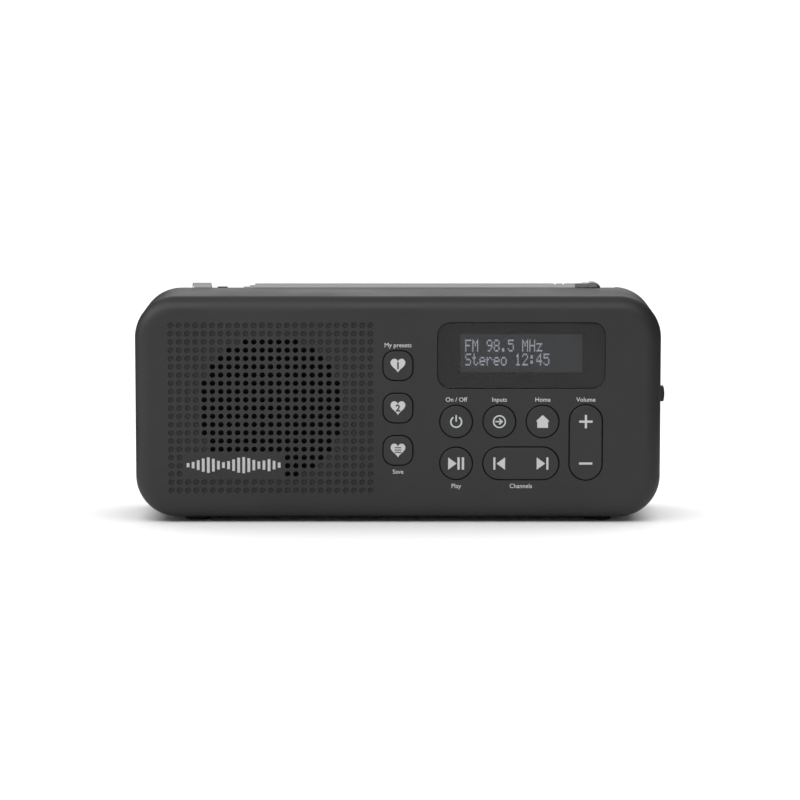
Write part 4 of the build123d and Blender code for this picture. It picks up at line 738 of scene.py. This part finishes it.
def lettering(name, text, x, z, cap_height, face, body, ink, slot, weight=0.008):
    """Printed text, centred on x and z, as thin closed letters on an upright face."""
    curve = bpy.data.curves.new(name, "FONT")
    curve.body = text
    curve.align_x = "CENTER"
    curve.extrude = 1.0
    curve.resolution_u = 3
    curve.offset = weight
    writer = bpy.data.objects.new(name + "_writer", curve)
    scene.collection.objects.link(writer)
    letters = bpy.data.meshes.new_from_object(writer.evaluated_get(bpy.context.evaluated_depsgraph_get()))
    bpy.data.objects.remove(writer)
    scale = cap_height / CAP_TOP * MM
    flat = Matrix.Diagonal((scale, scale, INK / 2 * MM, 1))
    letters.transform(stand_up @ flat)
    letters.transform(Matrix.Translation((x * MM, (face - INK / 2) * MM, (z - cap_height / 2) * MM)))
    return piece(name, letters, ink, body)


def shifted(outlines, x, z):
    """Outlines drawn about a mark's middle, moved to its place on the front."""
    return [[(x + a, z + b) for a, b in outline] for outline in outlines]


key_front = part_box("select_key")[0].y / MM
RING_STROKE = 0.45
POWER_RING = (0, -0.1, 2.1, 1.6, 122, 418)
POWER_STROKE = (0, 1.15, 0.5, 2.3)
INPUT_RING = (0, 0, 2.25, 2.25 - RING_STROKE, 0, 360, 40)
INPUT_SHAFT = (-0.45, 0, 1.9, RING_STROKE)
INPUT_HEAD = [(1.3, 0), (0.1, 1.1), (-0.25, 0.8), (0.6, 0)]
HOME_ROOF = [(-2.3, 0.05), (2.3, 0.05), (2.1, 0.35), (0.15, 2.2), (-0.15, 2.2), (-2.1, 0.35)]
HOME_WALLS = (0, -1.05, 3.7, 2.2)
TRANSPORT_HEIGHT = 4.3
PLAY_LEFT, PLAY_POINT = -2.75, 0.15
PAUSE_BARS, PAUSE_WIDTH = (0.85, 2.35), 0.8
SKIP_LEFT, SKIP_POINT = 2.0, -0.95
SKIP_BAR, SKIP_WIDTH = -1.7, 0.7
SIGN_SIZE, SIGN_STROKE = 4.6, 0.75
SIGN_ARM, SIGN_ARM_MIDDLE = 1.95, 1.35
HEART_SIZE = (5.1, 4.9)
ROW_STEPS, ROW_SIZE = (-0.6, 0.2, 1.0), (2.3, 0.35)
DIGIT_HEIGHT, DIGIT_LIFT, DIGIT_WEIGHT = 2.4, 0.15, 0.035

top = TRANSPORT_HEIGHT / 2
power = [*arc_band(*POWER_RING), bar(*POWER_STROKE)]
arrow_below = [(x, -z) for x, z in INPUT_HEAD]
source = [*arc_band(*INPUT_RING), bar(*INPUT_SHAFT), INPUT_HEAD, arrow_below]
play_pause = [[(PLAY_LEFT, -top), (PLAY_POINT, 0), (PLAY_LEFT, top)]]
play_pause += [bar(x, 0, PAUSE_WIDTH, TRANSPORT_HEIGHT) for x in PAUSE_BARS]
skip_back = [bar(SKIP_BAR, 0, SKIP_WIDTH, TRANSPORT_HEIGHT)]
skip_back.append([(SKIP_LEFT, -top), (SKIP_LEFT, top), (SKIP_POINT, 0)])
skip_on = [[(-x, z) for x, z in outline] for outline in skip_back]
minus = [bar(0, 0, SIGN_SIZE, SIGN_STROKE)]
arms = [bar(0, side * SIGN_ARM_MIDDLE, SIGN_STROKE, SIGN_ARM) for side in (1, -1)]
printed("standby_mark", shifted(power, *centre_of("standby_key")), "standby_key")
printed("source_mark", shifted(source, *centre_of("source_key")), "source_key")
printed("back_mark", shifted([HOME_ROOF, bar(*HOME_WALLS)], *centre_of("back_key")), "back_key")
printed("select_mark", shifted(play_pause, *centre_of("select_key")), "select_key")
mark_z = centre_of("station_rocker")[1]
marks = shifted(skip_back, centre_of("source_key")[0], mark_z)
marks += shifted(skip_on, centre_of("back_key")[0], mark_z)
printed("station_marks", marks, "station_rocker")
mark_x = centre_of("volume_rocker")[0]
signs = shifted(minus + arms, mark_x, centre_of("standby_key")[1])
signs += shifted(minus, mark_x, centre_of("select_key")[1])
printed("volume_marks", signs, "volume_rocker")
for key, digit in (("preset_1_key", "1"), ("preset_2_key", "2"), ("add_key", "")):
    x, z = centre_of(key)
    printed(key.replace("_key", "_heart"), [heart(x, z, *HEART_SIZE)], key)
    if digit:
        name = key.replace("key", "digit")
        face = key_front - INK
        placing = (x, z + DIGIT_LIFT, DIGIT_HEIGHT, face, key, dark_ink, "key_plastic", DIGIT_WEIGHT)
        lettering(name, digit, *placing)
    else:
        printed("add_rows", [bar(x, z + step, *ROW_SIZE) for step in ROW_STEPS], key, dark_ink, 1)

# ---- Printed legends and badge ----
# The words over and under the keys and a plain badge of level bars at the grille's corner are pad printed
# on the front shell in the same pale grey.
LEGEND_HEIGHT = 1.55
UPPER_LEGENDS = 43.1
LOWER_LEGENDS = 13.0
legends = {
    "My presets": (centre_of("preset_1_key")[0], 62.0),
    "Save": (centre_of("add_key")[0], 18.0),
    "On / Off": (centre_of("standby_key")[0], UPPER_LEGENDS),
    "Inputs": (centre_of("source_key")[0], UPPER_LEGENDS),
    "Home": (centre_of("back_key")[0], UPPER_LEGENDS),
    "Volume": (centre_of("volume_rocker")[0], UPPER_LEGENDS),
    "Play": (centre_of("select_key")[0], LOWER_LEGENDS),
    "Channels": (centre_of("station_rocker")[0], LOWER_LEGENDS),
}
for number, (word, (x, z)) in enumerate(legends.items()):
    lettering(f"legend_{number + 1}", word, x, z, LEGEND_HEIGHT, front_y, "case", pale_ink, "case_plastic")

BADGE_START = -72.6
BADGE_BASE = 17.4
BADGE_STEP = 1.75
BAR_WIDTH = 0.95
LEVELS = [1.4, 2.2, 3.4, 4.6, 5.4, 4.4, 3.0, 2.0, 2.8, 4.0, 5.2, 5.6, 4.8, 3.6, 2.6, 3.2, 4.2, 3.0, 1.8]
badge_middle = BADGE_BASE + max(LEVELS) / 2
badge = [bar(BADGE_START + BADGE_STEP * i, badge_middle, BAR_WIDTH, level) for i, level in enumerate(LEVELS)]
# The same ink, thinned a little.
badge_ink = plain("grey_pad_print", {"Base Color": linear("B4B5B6"), "Roughness": 0.5, "IOR": 1.5})
slabs_piece("level_badge", badge, front_y - INK, front_y, badge_ink, "case")

# ---- Keypad ----
# One silicone mat behind the front carries a dome under each key. It is moulded in one piece and held
# between the front shell and the main board.
# Grey silicone rubber: soft to the eye, with hardly any shine.
keypad_silicone = finish("grey_silicone", "3A3A3B", "464647", (0.55, 0.7), 0.6, 0.01, 15, IOR=1.41)
dress(keypad_silicone, "keypad_mat", "key_domes", "lcd_connector_strip")


# ---- Speaker ----
# A pressed and painted steel basket holds a paper cone on a foam surround. A fine black cloth is stretched
# over it, right behind the holes of the front.
THREAD = 0.35
THREAD_RELIEF = 0.1


def woven_cloth(name, thread_mm, dark, light):
    """Plain weave: two sets of round threads that pass over and under each other, with painted shade in the
    gaps between them.
    """
    made = bpy.data.materials.new(name)
    made.use_nodes = True
    tree = made.node_tree
    shader = tree.nodes["Principled BSDF"]
    shader.inputs["Roughness"].default_value = 0.9
    place = add(tree, "ShaderNodeTexCoord").outputs["Object"]
    # A wave texture of scale 1 has twenty bands to a metre.
    wave = {"Vector": place, "Scale": 1 / (thread_mm * MM) / 20}
    warp, weft = [add(tree, "ShaderNodeTexWave", wave, bands_direction=way) for way in ("X", "Z")]
    weave = add(tree, "ShaderNodeMath", {0: warp.outputs[1], 1: weft.outputs[1]}, operation="MULTIPLY")
    # The threads' colour follows the same height as their relief: darker where the weave lies low, lighter
    # on the crowns. This is painted shade in the gaps between the threads.
    tones = {"Vector": weave, 9: linear(dark)[:3], 10: linear(light)[:3]}
    colour = add(tree, "ShaderNodeMapRange", tones, data_type="FLOAT_VECTOR")
    tree.links.new(colour.outputs["Vector"], shader.inputs["Base Color"])
    relief = add(tree, "ShaderNodeBump", {"Height": weave, "Distance": THREAD_RELIEF * MM})
    tree.links.new(relief.outputs[0], shader.inputs["Normal"])
    return made


# Woven polyester, dyed black: dull, and dark enough to vanish behind the holes.
dress(woven_cloth("black_acoustic_cloth", THREAD, "030303", "0C0C0C"), "speaker_cloth")
# Stoved black paint on pressed steel: a half gloss with a slight orange peel.
basket_paint = finish("black_stove_paint", "151516", "1F1F20", (0.3, 0.45), 0.4, 0.01, 10, IOR=1.5)
dress(basket_paint, "speaker_basket")
# Pressed black paper pulp: a rough, fibrous and quite matt skin.
cone_paper = finish("pressed_cone_paper", "151515", "262524", (0.8, 0.95), 0.5, 0.05, 5, IOR=1.5)
dress(cone_paper, "speaker_cone", "dust_cap")
# Open-cell foam: the darkest and dullest of the blacks, as its pores trap the light.
foam = finish("black_polyurethane_foam", "0E0E0E", "1E1E1E", (0.85, 0.95), 0.6, 0.1, 8, IOR=1.45)
dress(foam, "speaker_gasket", "speaker_surround")
# Enamelled copper wire wound on a former: red metal with a line for each turn.
TURNS = (1, 14, 1)
winding = finish(
    "enamelled_copper_winding", "9C4A20", "C8703A", (0.2, 0.3), 0.2, 0.02, 4, TURNS, Metallic=1.0
)
dress(winding, "voice_coil")
# Sintered ferrite, ground flat: a dark grey stone with a dull sheen.
dress(finish("pressed_ferrite", "242425", "363637", (0.5, 0.7), 0.5, 0.03, 6, IOR=2.2), "speaker_magnet")
dress(zinc_plate, "speaker_yoke")

# ---- Boards ----
# Glass epoxy boards with green solder mask over their tracks. They carry a tinned shield can, chips in
# black epoxy, capacitors in blue sleeves and white nylon connectors.
# Solder mask over copper: green and fairly glossy, with paler lines where the tracks lie under it.
mask = finish("green_solder_mask", "0B3A1E", "12502A", (0.22, 0.34), 0.9, 0.02, 12, IOR=1.55)
mask_tree = mask.node_tree
TRACK_FIELD = 9.0
TRACK_SHARE = 0.02
fields = {"Vector": mask_tree.nodes["Mapping"], "Scale": 1 / (TRACK_FIELD * MM), "Mortar Size": TRACK_SHARE}
fields |= {"Color1": linear("0F4524"), "Color2": linear("14552E"), "Mortar": linear("2F8450")}
tracks = add(mask_tree, "ShaderNodeTexBrick", fields)
mask_tree.links.new(tracks.outputs["Color"], mask_tree.nodes["Principled BSDF"].inputs["Base Color"])
dress(mask, "main_board", "socket_board")
# Hot-dipped tin on steel: a bright grey metal with soft clouds.
tin_plate = finish("tinned_steel", "B9BBBD", "D0D2D4", (0.18, 0.34), 0.4, 0.004, 9, Metallic=1.0)
dress(tin_plate, "tuner_can", "usb_socket")
# Shrunk PVC film: deep blue with a plastic gloss.
sleeve = finish("blue_shrink_sleeve", "131B3C", "1D2850", (0.25, 0.4), 0.6, 0.01, 6, IOR=1.53)
dress(sleeve, "board_capacitors")
# Moulded nylon, undyed: an off-white that is slightly waxy.
dress(finish("white_nylon", "D6D2C4", "E4E1D6", (0.4, 0.55), 0.4, 0.01, 8, IOR=1.53), "board_connectors")

# ---- Cells and their contacts ----
# Four AA cells in printed sleeves lie head to tail in a moulded tray, between nickel plated springs and
# contact plates that are pressed into its ends.
# Printed film shrunk on the cell: a gloss blue with a pale band at one end.
cell_sleeve = finish("printed_cell_sleeve", "1C2B46", "24365A", (0.2, 0.32), 0.5, 0.004, 18, IOR=1.5)
sleeve_tree = cell_sleeve.node_tree
own = sleeve_tree.nodes["Texture Coordinate"].outputs["Object"]
along = add(sleeve_tree, "ShaderNodeSeparateXYZ", {0: own}).outputs["X"]
cells_low, cells_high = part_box("aa_cells")
BAND_START = 0.68
BAND_BLUR = 0.1
band_x = cells_low.x + (cells_high.x - cells_low.x) * BAND_START
band_ends = {"From Min": band_x, "From Max": band_x + BAND_BLUR * MM}
band = add(sleeve_tree, "ShaderNodeMapRange", {"Value": along} | band_ends)
# Inputs 6 and 7 are the colour kinds of A and B.
blue = sleeve_tree.nodes["Map Range"].outputs["Vector"]
two_tone = add(sleeve_tree, "ShaderNodeMix", {0: band, 6: blue, 7: linear("B9BDC4")}, data_type="RGBA")
sleeve_tree.links.new(two_tone.outputs[2], sleeve_tree.nodes["Principled BSDF"].inputs["Base Color"])
dress(cell_sleeve, "aa_cells")
# Nickel plate on spring steel: a warm, clean mirror.
nickel = finish("nickel_plated_steel", "B4B0A8", "CDC9C0", (0.16, 0.3), 0.3, 0.004, 5, Metallic=1.0)
dress(nickel, "battery_springs", "battery_contacts")

# ---- Aerial ----
# Drawn brass tubes, nickel and chrome plated. They slide in each other and hang on a forked knuckle that
# tilts on a post turning in the case.
# Chrome: a mirror with faint lengthwise draw lines.
chrome = finish(
    "chrome_plated_brass", "D4D6D8", "E4E6E8", (0.1, 0.16), 0.12, 0.0015, 4, (0.02, 1, 1), Metallic=1.0
)
dress(chrome, *CHROMED)
# Plain stamped brass: yellow metal, a little dull from the air.
dress(finish("stamped_brass", "B08A44", "C8A45C", (0.25, 0.4), 0.4, 0.01, 6, Metallic=1.0), "aerial_tag")

# ---- Leads ----
# Stranded copper in soft PVC sleeves runs from the speaker, the cells and the aerial to the main board.
# Each end is soldered or crimped.
# Extruded PVC: red or black, with a soft gloss.
pvc = finish("red_pvc_sleeve", "7C1512", "96201C", (0.35, 0.5), 0.5, 0.01, 12, IOR=1.54)
dress(pvc, "speaker_leads", "battery_leads")
dress(finish("black_pvc_sleeve", "121212", "1C1C1C", (0.35, 0.5), 0.5, 0.01, 12, IOR=1.54), "aerial_lead")
